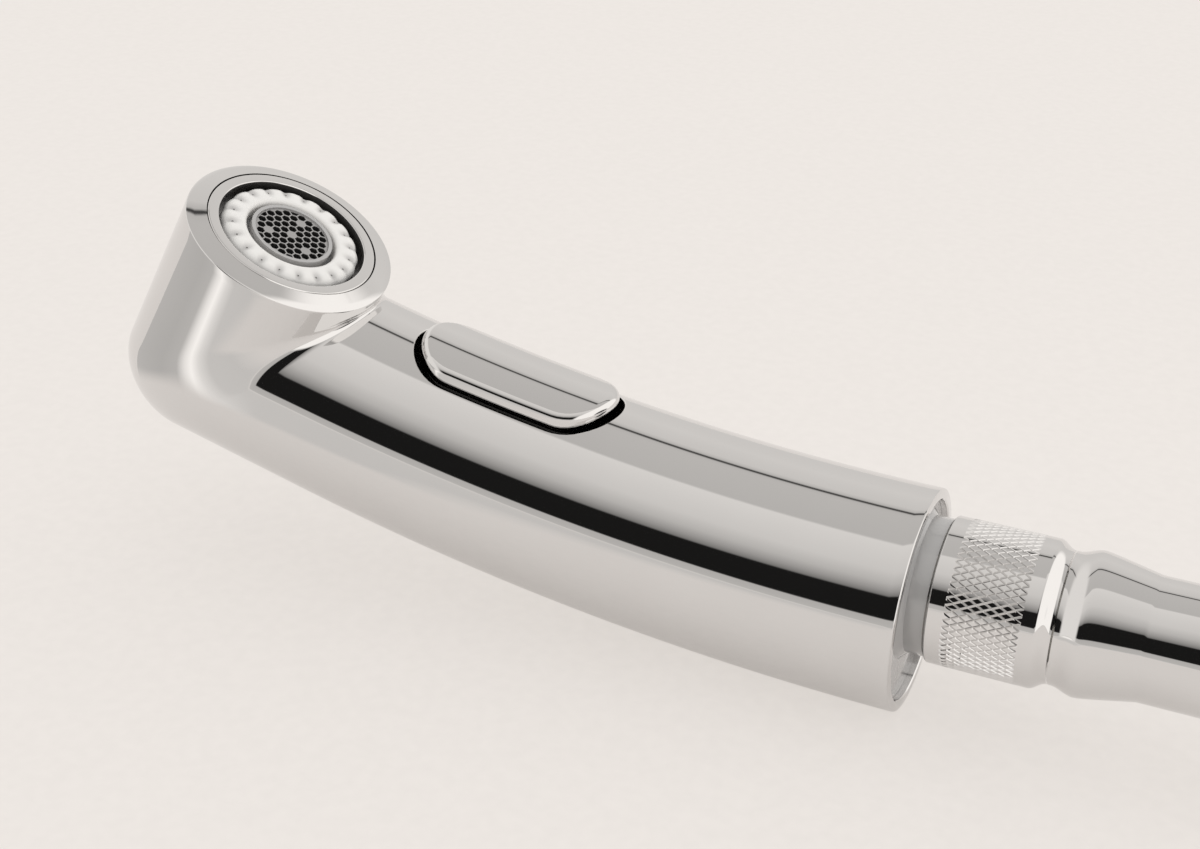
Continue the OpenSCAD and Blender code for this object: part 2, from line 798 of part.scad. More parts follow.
// Rubber ring between the adapter and the rear collar.
module adapter_seal() {
    color(black) hose_frame() translate([0, 0, -rim_depth * half])
        seal(adapter_seal_ring, adapter_seal_wire);
}

// Cage of the check valve in the nipple.
module check_valve_body() {
    color(white) hose_frame() difference() {
        translate([0, 0, -valve_back]) cylinder(r = valve_radius, h = valve_back + valve_front);
        translate([0, 0, -valve_back + valve_guide])
            cylinder(r = valve_bore, h = valve_back + valve_front - valve_guide - valve_lip);
        translate([0, 0, valve_front - valve_lip - over]) cylinder(r = valve_seat, h = tool);
        translate([0, 0, -valve_back - over]) cylinder(r = stem_radius + slide_fit, h = tool);
        for (k = [0:valve_windows - 1]) rotate(k * 360 / valve_windows)
            translate([valve_window_circle, 0, -valve_back - over])
                cylinder(r = valve_window, h = valve_guide + 2 * over, $fn = 24);
    }
}

// Moving disc and stem of the check valve.
module check_valve_poppet() {
    color(grey) hose_frame() {
        translate([0, 0, valve_front - valve_lip - poppet_height])
            cylinder(r = poppet_radius, h = poppet_height);
        translate([0, 0, -stem_back])
            cylinder(r = stem_radius, h = stem_back + valve_front - valve_lip - poppet_height);
    }
}

// Spring that closes the check valve.
module check_valve_spring() {
    low = -valve_back + valve_guide + valve_spring_wire;
    high = valve_front - valve_lip - poppet_height - valve_spring_wire;
    echo(check_valve_spring_gap = curl_gap(valve_spring_wire, low, high, valve_spring_turns));
    color(steel) hose_frame()
        coil_spring(valve_spring_ring, valve_spring_wire, low, high, valve_spring_turns);
}

// Filter disc at the nipple's mouth.
module hose_filter() {
    color(steel) hose_frame() translate([0, 0, nipple_reach])
        net_disc(filter_flange, filter_net, filter_hole, filter_pitch, filter_height);
}

// Rubber washer between the filter and the hose tail.
module hose_washer() {
    color(black) hose_frame() ring(filter_flange, washer_bore, washer_start, tail_start);
}

// Radius of the knurl at a point of its grid: low at both ends and on the grooves' crossings, high between them.
function knurl_reach(i, j) =
    let (low = j == 0 || j == 2 * knurl_rows || (i + j) % 2 == 0)
    nut_radius - (low ? knurl_depth : 0);

// Diamond knurl as one closed drum: each diamond is a low pyramid.
module knurl_drum() {
    around = 2 * knurl_count;
    along = 2 * knurl_rows;
    points = concat(
        [for (j = [0:along], i = [0:around - 1])
            let (turn = i * 360 / around, reach = knurl_reach(i, j))
            [reach * cos(turn), reach * sin(turn), knurl_start + knurl_length * j / along]],
        [[0, 0, knurl_start], [0, 0, knurl_start + knurl_length]]);
    last = len(points) - 1;
    walls = [for (j = [0:along - 1], i = [0:around - 1])
        let (a = j * around + i, b = j * around + (i + 1) % around, c = a + around, d = b + around)
        each ((i + j) % 2 == 0 ? [[a, d, b], [a, c, d]] : [[a, c, b], [b, c, d]])];
    caps = [for (i = [0:around - 1])
        let (b = (i + 1) % around)
        each [[last - 1, i, b], [last, along * around + b, along * around + i]]];
    polyhedron(points, concat(walls, caps));
}

// Knurled union nut.
module union_nut() {
    color(chrome) hose_frame() difference() {
        union() {
            rotate_extrude() polygon([
                [0, nut_start], [nut_radius - nut_chamfer, nut_start], [nut_radius, nut_start + nut_chamfer],
                [nut_radius, knurl_start], [0, knurl_start]]);
            knurl_drum();
            rotate_extrude() polygon([
                [0, knurl_start + knurl_length], [nut_radius, knurl_start + knurl_length],
                [nut_radius, nut_end - nut_taper], [nut_radius - nut_tip * half, nut_end - nut_taper * half],
                [nut_radius - nut_tip, nut_end], [0, nut_end]]);
        }
        translate([0, 0, nut_start - over]) cylinder(r = nut_bore, h = nut_shoulder - nut_start + over);
        cylinder(r = nut_neck, h = tool);
    }
}

// Thin ring that lets the nut turn on the hose tail.
module slip_ring() {
    color(white) hose_frame() ring(tail_flange_radius, nut_neck, slip_start, nut_shoulder);
}

// Brass tail that the hose is pressed on.
module hose_tail() {
    color(brass) hose_frame() difference() {
        union() {
            translate([0, 0, tail_start]) cylinder(r = tail_flange_radius, h = tail_flange);
            translate([0, 0, tail_start]) cylinder(r = tail_neck, h = bell_start + bell_wall - tail_start);
            translate([0, 0, tail_start]) cylinder(r = tail_core, h = tail_end - tail_start);
            for (k = [0:barb_count - 1]) translate([0, 0, barb_start + k * barb_pitch])
                cylinder(r1 = tail_barb, r2 = tail_core - hair, h = barb_pitch * half);
        }
        cylinder(r = tail_bore, h = 2 * tool);
    }
}

// A smooth step between two radii: an S-shaped line from one point to another.
function ease(from, to) = [for (k = [0:bell_steps])
    let (share = k / bell_steps)
    [from[0] + (to[0] - from[0]) * (1 - cos(180 * share)) / 2, from[1] + (to[1] - from[1]) * share]];

// Bell-shaped chrome sleeve over the hose's end.
module hose_ferrule() {
    groove_end = bell_start + groove_width;
    color(chrome) hose_frame() difference() {
        rotate_extrude() polygon(concat(
            [[tail_neck + seat_fit, bell_start], [groove_radius, bell_start]],
            ease([groove_radius, groove_end], [bell_radius, bell_place]),
            ease([bell_radius, bell_place + hair], [sleeve_radius, sleeve_start]),
            [[sleeve_radius, sleeve_end - sleeve_edge], [sleeve_radius - sleeve_edge, sleeve_end],
             [tail_neck + seat_fit, sleeve_end]]));
        translate([0, 0, bell_start + bell_wall]) cylinder(r = socket_radius, h = tool);
    }
}

handle_shell();
face_ring();
nozzle_plate();
spray_distributor();
distributor_seal();
aerator_sleeve();
aerator_seal();
stream_comb();
aerator_screen();
flow_regulator();
head_manifold();
stream_pipe();
spray_pipe();
diverter_barrel();
button_frame();
diverter_button();
diverter_spool();
spool_seals();
button_spring();
inlet_pipe();
rear_collar();
hose_adapter();
adapter_seal();
check_valve_body();
check_valve_poppet();
check_valve_spring();
hose_filter();
hose_washer();
union_nut();
slip_ring();
hose_tail();
hose_ferrule();
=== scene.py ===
"""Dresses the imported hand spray: chrome handle, spray face, push button and hose union."""
import logging
import math
from dataclasses import dataclass, field
from enum import Enum
from typing import Callable, Iterable, Sequence

import bmesh
import bpy
from mathutils import Matrix, Vector

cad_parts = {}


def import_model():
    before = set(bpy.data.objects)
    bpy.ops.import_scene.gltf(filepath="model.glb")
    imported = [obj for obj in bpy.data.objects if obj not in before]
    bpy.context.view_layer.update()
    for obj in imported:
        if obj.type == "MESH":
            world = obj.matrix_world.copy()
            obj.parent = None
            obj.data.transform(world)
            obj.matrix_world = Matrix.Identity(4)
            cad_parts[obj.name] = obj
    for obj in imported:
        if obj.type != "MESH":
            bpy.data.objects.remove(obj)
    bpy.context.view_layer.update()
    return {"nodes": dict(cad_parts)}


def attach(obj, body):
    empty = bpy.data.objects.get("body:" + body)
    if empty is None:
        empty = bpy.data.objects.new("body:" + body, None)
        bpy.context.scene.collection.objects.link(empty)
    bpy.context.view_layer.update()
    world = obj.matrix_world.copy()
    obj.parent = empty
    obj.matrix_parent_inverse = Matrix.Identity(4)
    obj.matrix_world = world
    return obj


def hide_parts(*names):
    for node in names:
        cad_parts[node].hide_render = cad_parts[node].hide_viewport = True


LOG = logging.getLogger("hand_spray")
MM = 0.001
FULL_TURN = 2 * math.pi
HEAD_LEVEL = -16.53
# Name of the point attribute that carries the painted shade in the nozzle dimples.
DIMPLE_SHADE = "dimple_shade"
MERGE = 0.001 * MM
PAST = 1.0
SLACK = 0.02
HALF_TURN = 180.0
Point = tuple[float, float]
Place = tuple[float, float, float]
Colour = tuple[float, float, float, float]
Piece = bpy.types.Object
Socket = bpy.types.NodeSocket


class Slot(Enum):
    """The record's material slots that the spray uses."""

    CHROME = "chrome"
    WHITE_PLASTIC = "white_plastic"
    PALE_PLASTIC = "pale_plastic"
    GREY_PLASTIC = "grey_plastic"
    BLACK_PLASTIC = "black_plastic"
    BLACK_RUBBER = "black_rubber"
    STEEL = "steel"
    BRASS = "brass"


def rgba(colour: Place, level: float = 1.0, alpha: float = 1.0) -> Colour:
    """A colour at a light level, with its alpha."""
    return (*[level * part for part in colour], alpha)


@dataclass(frozen=True)
class Nodes:
    """Adds linked nodes to one shader tree."""

    tree: bpy.types.NodeTree

    def feed(self, node: bpy.types.Node, inputs: dict[str | int, object]) -> None:
        """Links sockets to a node's inputs and sets the rest as values.

        Args:
            node: The node.
            inputs: A socket or a value for each input, by its name or number.
        """
        for name, value in inputs.items():
            if isinstance(value, Socket):
                self.tree.links.new(value, node.inputs[name])
            else:
                node.inputs[name].default_value = value

    def add(self, kind: str, inputs: dict[str | int, object] | None = None,
            **settings: str) -> bpy.types.Node:
        """Adds a node.

        Args:
            kind: The node's type, without the words that all types start with.
            inputs: A socket or a value for each input, by its name or number.
            settings: The node's own settings.

        Returns:
            The node.
        """
        node = self.tree.nodes.new("ShaderNode" + kind)
        for name, value in settings.items():
            setattr(node, name, value)
        self.feed(node, inputs or {})
        return node

    def place(self) -> Socket:
        """The piece's own coordinates."""
        return self.add("TexCoord").outputs["Object"]

    def parts(self, vector: Socket) -> list[Socket]:
        """The three parts of a vector."""
        return list(self.add("SeparateXYZ", {"Vector": vector}).outputs)

    def noise(self, scale: float, detail: float) -> Socket:
        """A noise pattern on the piece, by its cells to the metre and its finer layers."""
        return self.add("TexNoise", {"Vector": self.place(), "Scale": scale,
                                     "Detail": detail}).outputs["Fac"]

    def maths(self, kind: str, *values: Socket | float) -> Socket:
        """The result of one sum on sockets or numbers."""
        return self.add("Math", dict(enumerate(values)), operation=kind).outputs[0]

    def mix(self, factor: Socket, start: Socket | Colour, end: Socket | Colour) -> Socket:
        """The colour on the way from one colour to another."""
        return self.add("Mix", {"Factor": factor, "A": start, "B": end},
                        data_type="RGBA").outputs["Result"]

    def cover(self, factor: Socket, under: Socket, over: Socket) -> Socket:
        """One shader laid over another by a factor."""
        return self.add("MixShader", {"Fac": factor, 1: under, 2: over}).outputs[0]

    def rise(self, value: Socket, ends: Point) -> Socket:
        """Rises smoothly from 0 to 1 between two values."""
        return self.add("MapRange", {"Value": value, "From Min": ends[0], "From Max": ends[1]},
                        interpolation_type="SMOOTHSTEP").outputs["Result"]

    def ramp(self, value: Socket, stops: Iterable[tuple[float, Colour]]) -> bpy.types.Node:
        """Adds a colour ramp.

        Args:
            value: The value that runs along it.
            stops: Value and colour of each stop.

        Returns:
            The ramp's node.
        """
        ramp = self.add("ValToRGB", {"Fac": value})
        steps = ramp.color_ramp.elements
        steps.remove(steps[0])
        for index, (at, colour) in enumerate(stops):
            step = steps.new(at) if index else steps[0]
            step.position = at
            step.color = colour
        return ramp

    def mottled(self, noise: Socket, colour: Place, spread: float, ends: Point) -> Socket:
        """A colour that a noise darkens and lightens.

        Args:
            noise: The noise.
            colour: The middle colour.
            spread: Share by which it is darkened and lightened.
            ends: Values of the noise at the darkest and the lightest.

        Returns:
            The colour's socket.
        """
        return self.ramp(noise, ((ends[0], rgba(colour, 1 - spread)),
                                 (ends[1], rgba(colour, 1 + spread)))).outputs["Color"]


@dataclass(frozen=True)
class Finish:
    """One surface finish: its colour, gloss and the grain that breaks it up."""

    name: str
    colour: Place
    roughness: float
    metallic: float = 0.0
    specular: float = 0.5
    coat: float = 0.0
    coat_roughness: float = 0.06
    shade_spread: float = 0.04
    shade_scale: float = 60.0
    gloss_spread: float = 0.03
    gloss_scale: float = 300.0
    bump: float = 0.02
    bump_scale: float = 900.0
    bump_reach: float = 0.0002
    # Painted shade deep in the piece: the shade colour, the level along the leaned axis where it
    # has faded out, the reach below that level over which it fades in, and the axis's lean.
    depth_shade: Place | None = None
    depth_shade_from: float = 0.0
    depth_shade_reach: float = 1.0
    depth_shade_lean: float = 0.0
    # Painted shade in the nozzle dimples: the colour that the point attribute mixes in.
    dimple_shade: Place | None = None

    def _colour(self, nodes: Nodes) -> Socket:
        """The mottled colour, with painted shade below a level and painted shade in dimples where
        the finish says so.
        """
        colour = nodes.mottled(nodes.noise(self.shade_scale, 4.0), self.colour,
                               self.shade_spread, (0.3, 0.7))
        # Painted shade: the colour darkens to the shade colour below a level along the leaned axis.
        if self.depth_shade is not None:
            turn = nodes.add("Mapping", {"Vector": nodes.place(),
                                         "Rotation": (0.0, self.depth_shade_lean, 0.0)})
            level = nodes.add("MapRange", {
                "Value": nodes.parts(turn.outputs["Vector"])[2],
                "From Min": (self.depth_shade_from - self.depth_shade_reach) * MM,
                "From Max": self.depth_shade_from * MM})
            colour = nodes.mix(level.outputs["Result"], rgba(self.depth_shade), colour)
        # Painted shade in dimples, mixed in by a point attribute that the piece carries.
        if self.dimple_shade is not None:
            dip = nodes.add("Attribute", attribute_name=DIMPLE_SHADE)
            colour = nodes.mix(dip.outputs["Fac"], colour, rgba(self.dimple_shade))
        return colour

    def material(self) -> bpy.types.Material:
        """Builds the finish's material, or gives back the one already built."""
        known = bpy.data.materials.get(self.name)
        if known is not None:
            return known
        made = bpy.data.materials.new(self.name)
        made.use_nodes = True
        made.diffuse_color = rgba(self.colour)
        nodes = Nodes(made.node_tree)
        shader = made.node_tree.nodes["Principled BSDF"]
        gloss = nodes.add("MapRange", {
            "Value": nodes.noise(self.gloss_scale, 3.0),
            "To Min": max(0.0, self.roughness - self.gloss_spread),
            "To Max": self.roughness + self.gloss_spread})
        nodes.feed(shader, {
            "Metallic": self.metallic, "Specular IOR Level": self.specular,
            "Coat Weight": self.coat, "Coat Roughness": self.coat_roughness,
            "Base Color": self._colour(nodes), "Roughness": gloss.outputs["Result"]})
        if self.bump:
            raised = nodes.add("Bump", {"Strength": self.bump, "Distance": self.bump_reach,
                                        "Height": nodes.noise(self.bump_scale, 2.0)})
            nodes.feed(shader, {"Normal": raised.outputs["Normal"]})
        return made


POLISHED_CHROME = Finish("polished_chrome", (0.75, 0.742, 0.735), 0.03, metallic=1.0,
                         shade_spread=0.01, gloss_spread=0.012, gloss_scale=90.0, bump=0.0)
WHITE_FACE = Finish("white_face", (0.86, 0.84, 0.81), 0.32, shade_spread=0.012, bump=0.05)
# The nozzle plate's white, with painted shade in its dimples.
NOZZLE_WHITE = Finish("nozzle_white", (0.76, 0.74, 0.71), 0.32, shade_spread=0.012, bump=0.05,
                      dimple_shade=(0.45, 0.435, 0.42))
PALE_COLLAR = Finish("pale_collar", (0.42, 0.41, 0.40), 0.16, specular=0.8, coat=0.6,
                     shade_spread=0.02, bump=0.03)
SLEEVE_GREY = Finish("sleeve_grey", (0.40, 0.39, 0.38), 0.24, shade_spread=0.02, bump=0.03)
# The comb's walls get painted shade below its top, so that the cells look deep and dark.
GREY_COMB = Finish("grey_comb", (0.31, 0.30, 0.29), 0.3, shade_spread=0.03, bump=0.03,
                   depth_shade=(0.03, 0.029, 0.028), depth_shade_from=HEAD_LEVEL - 0.52, depth_shade_reach=0.12,
                   depth_shade_lean=-math.atan2(0.4726, 0.8813))
GREY_MOULD = Finish("grey_mould", (0.34, 0.34, 0.34), 0.36, shade_spread=0.03, bump=0.05)
BLACK_TRIM_AND_GAP_SHADE = Finish("black_trim_and_gap_shade", (0.010, 0.009, 0.008), 0.32, bump=0.04)
# Black plastic of the button frame, and painted shade on the spray ring's inner wall.
BLACK_SEAL = Finish("black_seal", (0.012, 0.012, 0.013), 0.55, bump=0.08)
STEEL_MESH = Finish("steel_mesh", (0.52, 0.52, 0.51), 0.22, metallic=1.0, bump=0.02)
DARK_SCREEN = Finish("dark_screen", (0.05, 0.05, 0.05), 0.5, metallic=0.5, bump=0.02)
TURNED_BRASS = Finish("turned_brass", (0.72, 0.52, 0.24), 0.24, metallic=1.0, bump=0.02)
PLATED_BRASS = Finish("plated_brass", (0.36, 0.35, 0.33), 0.2, metallic=1.0, bump=0.02)

FINISHES: dict[Slot, Finish] = {
    Slot.CHROME: POLISHED_CHROME,
    Slot.WHITE_PLASTIC: WHITE_FACE,
    Slot.PALE_PLASTIC: PALE_COLLAR,
    Slot.GREY_PLASTIC: GREY_MOULD,
    Slot.BLACK_PLASTIC: BLACK_TRIM_AND_GAP_SHADE,
    Slot.BLACK_RUBBER: BLACK_SEAL,
    Slot.STEEL: STEEL_MESH,
    Slot.BRASS: TURNED_BRASS,
}

OWN_FINISHES: dict[str, Finish] = {
    "stream_comb": GREY_COMB,
    "aerator_sleeve": SLEEVE_GREY,
    "aerator_screen": DARK_SCREEN,
    "hose_adapter": PLATED_BRASS,
    "hose_tail": PLATED_BRASS,
}

NODE_SLOTS: dict[Slot, tuple[str, ...]] = {
    Slot.CHROME: ("handle_shell", "face_ring", "diverter_button", "union_nut", "hose_ferrule"),
    Slot.WHITE_PLASTIC: ("nozzle_plate", "flow_regulator", "stream_pipe", "spray_pipe",
                         "inlet_pipe", "check_valve_body", "slip_ring"),
    Slot.PALE_PLASTIC: ("aerator_sleeve", "rear_collar"),
    Slot.GREY_PLASTIC: ("spray_distributor", "stream_comb", "head_manifold",
                        "diverter_barrel", "check_valve_poppet"),
    Slot.BLACK_PLASTIC: ("button_frame",),
    Slot.BLACK_RUBBER: ("distributor_seal", "aerator_seal", "spool_seals", "adapter_seal",
                        "hose_washer"),
    Slot.STEEL: ("aerator_screen", "button_spring", "check_valve_spring", "hose_filter"),
    Slot.BRASS: ("diverter_spool", "hose_adapter", "hose_tail"),
}


@dataclass(frozen=True)
class InnerWorks:
    """The CAD nodes that are kept as they are and only get their finish."""

    slots: dict[Slot, tuple[str, ...]] = field(default_factory=lambda: NODE_SLOTS)

    def dress(self, nodes: dict[str, Piece]) -> None:
        """Gives each CAD node its slot's finish.

        Args:
            nodes: The CAD nodes by name.
        """
        for slot, names in self.slots.items():
            for name in names:
                node = nodes[name]
                node.data.materials.clear()
                node.data.materials.append(OWN_FINISHES.get(name, FINISHES[slot]).material())
                LOG.info("dressed %s in %s", name, slot.value)


@dataclass(frozen=True)
class Axes:
    """A straight frame of the spray in the row frame, in millimetres."""

    origin: Place
    x: Place
    z: Place

    @property
    def side(self) -> Vector:
        """The direction across the other two."""
        return Vector(self.z).cross(Vector(self.x))

    def at(self, x: float, y: float, z: float) -> Vector:
        """The row-frame point of one point given along these axes."""
        return Vector(self.origin) + Vector(self.x) * x + self.side * y + Vector(self.z) * z

    def matrix(self) -> Matrix:
        """The frame as a matrix, in metres."""
        turn = Matrix((self.x, self.side, self.z)).transposed().to_4x4()
        return Matrix.Translation(Vector(self.origin) * MM) @ turn


NECK = Axes((-127.54, 0.0, 19.28), (0.96793, 0.0, -0.25122), (0.25122, 0.0, 0.96793))
HEAD = Axes((-127.54, 0.0, 19.28), (0.8813, 0.0, -0.4726), (0.4726, 0.0, 0.8813))
BUTTON = Axes((-75.088, 0.0, 6.816), (0.98365, 0.0, -0.18007), (0.18007, 0.0, 0.98365))
HOSE = Axes((0.0, 0.0, 3.2), (0.0, 0.0, 1.0), (1.0, 0.0, 0.0))


@dataclass(frozen=True)
class Bend:
    """The handle's curve: an arc that starts at the rear rim and runs into the straight neck."""

    radius: float = 417.0
    arc: float = 105.9
    straight: float = 129.43

    def at(self, along: float, y: float, height: float) -> Vector:
        """The row-frame point of a point on the curve.

        Args:
            along: Distance from the rear rim along the axis.
            y: Distance sideways.
            height: Distance above the axis.

        Returns:
            The point, in millimetres.
        """
        if along > self.arc:
            return NECK.at(self.straight - along, y, height)
        turn = along / self.radius
        reach = self.radius - height
        return Vector((-reach * math.sin(turn), y, self.radius - reach * math.cos(turn)))

    def level(self, x: float, radius: float) -> float:
        """The height over the button's frame at which a line at that height of the tube lies."""
        return self.radius - math.sqrt((self.radius - radius) ** 2 - x * x)


BEND = Bend()


class Bench:
    """The modelling steps that the pieces share."""

    @staticmethod
    def clear() -> None:
        """Leaves edit mode and deselects everything."""
        if bpy.context.object is not None and bpy.context.object.mode != "OBJECT":
            bpy.ops.object.mode_set(mode="OBJECT")
        bpy.ops.object.select_all(action="DESELECT")

    @staticmethod
    def hold(piece: Piece) -> None:
        """Selects one piece alone and makes it active."""
        Bench.clear()
        piece.select_set(True)
        bpy.context.view_layer.objects.active = piece

    @staticmethod
    def merge(piece: Piece) -> None:
        """Merges doubles, clears what is loose and leaves the piece selected in edit mode."""
        Bench.hold(piece)
        bpy.ops.object.mode_set(mode="EDIT")
        bpy.ops.mesh.select_mode(type="VERT")
        bpy.ops.mesh.select_all(action="SELECT")
        bpy.ops.mesh.remove_doubles(threshold=MERGE)
        bpy.ops.mesh.delete_loose()

    @staticmethod
    def close(piece: Piece) -> None:
        """Merges doubles, fills what is open and turns the faces outwards."""
        Bench.merge(piece)
        bpy.ops.mesh.select_all(action="DESELECT")
        bpy.ops.mesh.select_non_manifold()
        bpy.ops.mesh.fill_holes(sides=0)
        bpy.ops.mesh.select_all(action="SELECT")
        bpy.ops.mesh.normals_make_consistent(inside=False)
        bpy.ops.object.mode_set(mode="OBJECT")

    @staticmethod
    def circle(name: str, corners: int) -> Piece:
        """Adds an open ring of edges under a name."""
        Bench.clear()
        bpy.ops.mesh.primitive_circle_add(vertices=corners, fill_type="NOTHING")
        piece = bpy.context.object
        piece.name = name
        piece.data.name = name
        return piece

    @staticmethod
    def extrude(name: str, rings: Sequence[Sequence[Vector]]) -> Piece:
        """Draws one ring and extrudes it through the others.

        Args:
            name: The piece's name.
            rings: Rings of as many points each, in the row frame, in millimetres.

        Returns:
            The piece, open at both ends and still in edit mode.
        """
        piece = Bench.circle(name, len(rings[0]))
        bpy.ops.object.mode_set(mode="EDIT")
        bpy.ops.mesh.select_mode(type="VERT")
        bpy.ops.mesh.select_all(action="SELECT")
        for index, ring in enumerate(rings):
            if index:
                bpy.ops.mesh.extrude_region()
            mesh = bmesh.from_edit_mesh(piece.data)
            column = mesh.verts.layers.int.get("column")
            if column is None:
                column = mesh.verts.layers.int.new("column")
                for number, point in enumerate(mesh.verts):
                    point[column] = number
            for point in mesh.verts:
                if point.select:
                    point.co = ring[point[column]] * MM
            bmesh.update_edit_mesh(piece.data)
        return piece

    @staticmethod
    def loft(name: str, rings: Sequence[Sequence[Vector]]) -> Piece:
        """Extrudes a ring through others and closes both ends.

        Args:
            name: The piece's name.
            rings: Rings of as many points each, in the row frame, in millimetres.

        Returns:
            The closed piece.
        """
        piece = Bench.extrude(name, rings)
        bpy.ops.object.mode_set(mode="OBJECT")
        Bench.close(piece)
        return piece

    @staticmethod
    def turn(name: str, outline: Sequence[Point], axes: Axes, steps: int = 96) -> Piece:
        """Spins a closed outline round an axis.

        Args:
            name: The piece's name.
            outline: Radius and height of each corner, in millimetres.
            axes: The frame whose z is the axis.
            steps: Faces round the piece.

        Returns:
            The turned piece.
        """
        piece = Bench.circle(name, len(outline))
        for point, (radius, height) in zip(piece.data.vertices, outline):
            point.co = (radius * MM, 0.0, height * MM)
        bpy.ops.object.mode_set(mode="EDIT")
        bpy.ops.mesh.select_all(action="SELECT")
        bpy.ops.mesh.spin(steps=steps, angle=FULL_TURN, center=(0, 0, 0), axis=(0, 0, 1))
        bpy.ops.object.mode_set(mode="OBJECT")
        piece.data.transform(axes.matrix())
        Bench.close(piece)
        return piece

    @staticmethod
    def rod(name: str, radius: float, ends: Point, axes: Axes, steps: int = 72) -> Piece:
        """A plain round bar.

        Args:
            name: The bar's name.
            radius: Its radius, in millimetres.
            ends: Heights of its ends.
            axes: The frame whose z is its axis.
            steps: Faces round it.

        Returns:
            The bar.
        """
        return Bench.turn(name, [(0.0, ends[0]), (radius, ends[0]), (radius, ends[1]),
                                 (0.0, ends[1])], axes, steps)

    @staticmethod
    def cut(piece: Piece, cutter: Piece, kind: str = "DIFFERENCE") -> None:
        """Cuts one solid with another and throws the cutter away."""
        Bench.hold(piece)
        taken = piece.modifiers.new("cut", "BOOLEAN")
        taken.operation = kind
        taken.solver = "EXACT"
        taken.object = cutter
        bpy.ops.object.modifier_apply(modifier=taken.name)
        bpy.data.objects.remove(cutter, do_unlink=True)
        Bench.merge(piece)
        bpy.ops.mesh.dissolve_degenerate(threshold=MERGE)
        bpy.ops.object.mode_set(mode="OBJECT")

    @staticmethod
    def bars(places: Iterable[Point], radius: float, sides: int, ends: Point) -> Piece:
        """One bar, copied to each place and joined, to cut holes along the head's axis with.

        Args:
            places: Places across the head's axis, in millimetres.
            radius: Radius of a bar.
            sides: Faces round a bar.
            ends: Heights of the bars' ends.

        Returns:
            The joined bars.
        """
        Bench.clear()
        bpy.ops.mesh.primitive_cylinder_add(
            vertices=sides, radius=radius * MM, depth=(ends[1] - ends[0]) * MM,
            location=(0, 0, (ends[0] + ends[1]) / 2 * MM))
        bpy.ops.object.transform_apply(location=True, rotation=True, scale=True)
        joined = bpy.context.object
        pattern = joined.data.copy()
        for number, (x, y) in enumerate(places):
            bar = joined
            if number:
                bar = bpy.data.objects.new("bar", pattern.copy())
                bpy.context.scene.collection.objects.link(bar)
                bar.select_set(True)
            bar.data.transform(Matrix.Translation((x * MM, y * MM, 0.0)))
        bpy.ops.object.join()
        joined.data.transform(HEAD.matrix())
        return joined

    @staticmethod
    def smooth(piece: Piece, degrees: float) -> None:
        """Shades a piece smooth up to an angle between faces."""
        Bench.hold(piece)
        bpy.ops.object.shade_smooth_by_angle(angle=math.radians(degrees))

    @staticmethod
    def true(piece: Piece,
             facing: Callable[[Vector, Vector], Vector | None]) -> None:
        """Turns corner normals to the true surface where it is known.

        Args:
            piece: The shaded piece.
            facing: Gives the true normal for a place in millimetres and the face's normal, or
                None where the corner keeps its own.
        """
        data = piece.data
        normals = [Vector(corner.vector) for corner in data.corner_normals]
        for face in data.polygons:
            for loop in face.loop_indices:
                place = data.vertices[data.loops[loop].vertex_index].co / MM
                known = facing(place, face.normal)
                if known is not None:
                    normals[loop] = known
        data.normals_split_custom_set(normals)

    @staticmethod
    def finish(piece: Piece, body: str, slot: Slot, *nodes: str,
               finish: Finish | None = None) -> None:
        """Gives a piece its slot's finish or its own, puts it on its body and hides the CAD nodes
        it stands for.

        Args:
            piece: The finished piece.
            body: The CAD body that it rides on.
            slot: The record's slot.
            nodes: The CAD nodes that it replaces.
            finish: Another finish than the slot's, where the piece has its own.
        """
        piece.data.materials.clear()
        piece.data.materials.append((finish or FINISHES[slot]).material())
        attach(piece, body)
        if nodes:
            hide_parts(*nodes)
        LOG.info("%s: %d faces on %s", piece.name, len(piece.data.polygons), body)


def round_points(radius: float, count: int, start: float = 0.0) -> list[Point]:
    """Points spread evenly round a circle, from a first turn in degrees."""
    turns = [math.radians(start) + FULL_TURN * number / count for number in range(count)]
    return [(radius * math.cos(turn), radius * math.sin(turn)) for turn in turns]


def fillet(corners: Sequence[tuple[float, float, float]], steps: int = 5) -> list[Point]:
    """Rounds the corners of a closed outline.

    Args:
        corners: Radius, height and rounding of each corner, in millimetres.
        steps: Points to each rounding.

    Returns:
        The rounded outline's points.
    """
    points: list[Point] = []
    for index, (r, z, rounding) in enumerate(corners):
        here = Vector((r, z))
        if not rounding:
            points.append((r, z))
            continue
        back = Vector(corners[index - 1][:2]) - here
        ahead = Vector(corners[(index + 1) % len(corners)][:2]) - here
        half = back.angle(ahead) / 2
        reach = rounding / math.tan(half)
        start, end = here + back.normalized() * reach, here + ahead.normalized() * reach
        middle = here + (back.normalized() + ahead.normalized()).normalized() * (
            rounding / math.sin(half))
        for step in range(steps + 1):
            part = (start - middle).lerp(end - middle, step / steps).normalized() * rounding
            points.append(tuple(middle + part))
    return points


def stadium(length: float, width: float, inset: float = 0.0, round_steps: int = 24,
            side_steps: int = 20) -> list[tuple[float, float, float, float]]:
    """Points round a stadium, each with its outward direction.

    Args:
        length: Full length, in millimetres.
        width: Full width, in millimetres.
        inset: Distance moved inwards.
        round_steps: Faces round each end.
        side_steps: Faces along each side.

    Returns:
        x, y and the outward direction's two parts of each point.
    """
    radius = width / 2
    reach = length / 2 - radius
    points = []
    for side in (1, -1):
        for step in range(round_steps):
            turn = math.radians(-90 + 180 * step / round_steps)
            out = (side * math.cos(turn), side * math.sin(turn))
            points.append((side * reach + out[0] * (radius - inset), out[1] * (radius - inset),
                           *out))
        for step in range(side_steps):
            points.append((side * (reach - 2 * reach * step / side_steps),
                           side * (radius - inset), 0.0, float(side)))
    return points


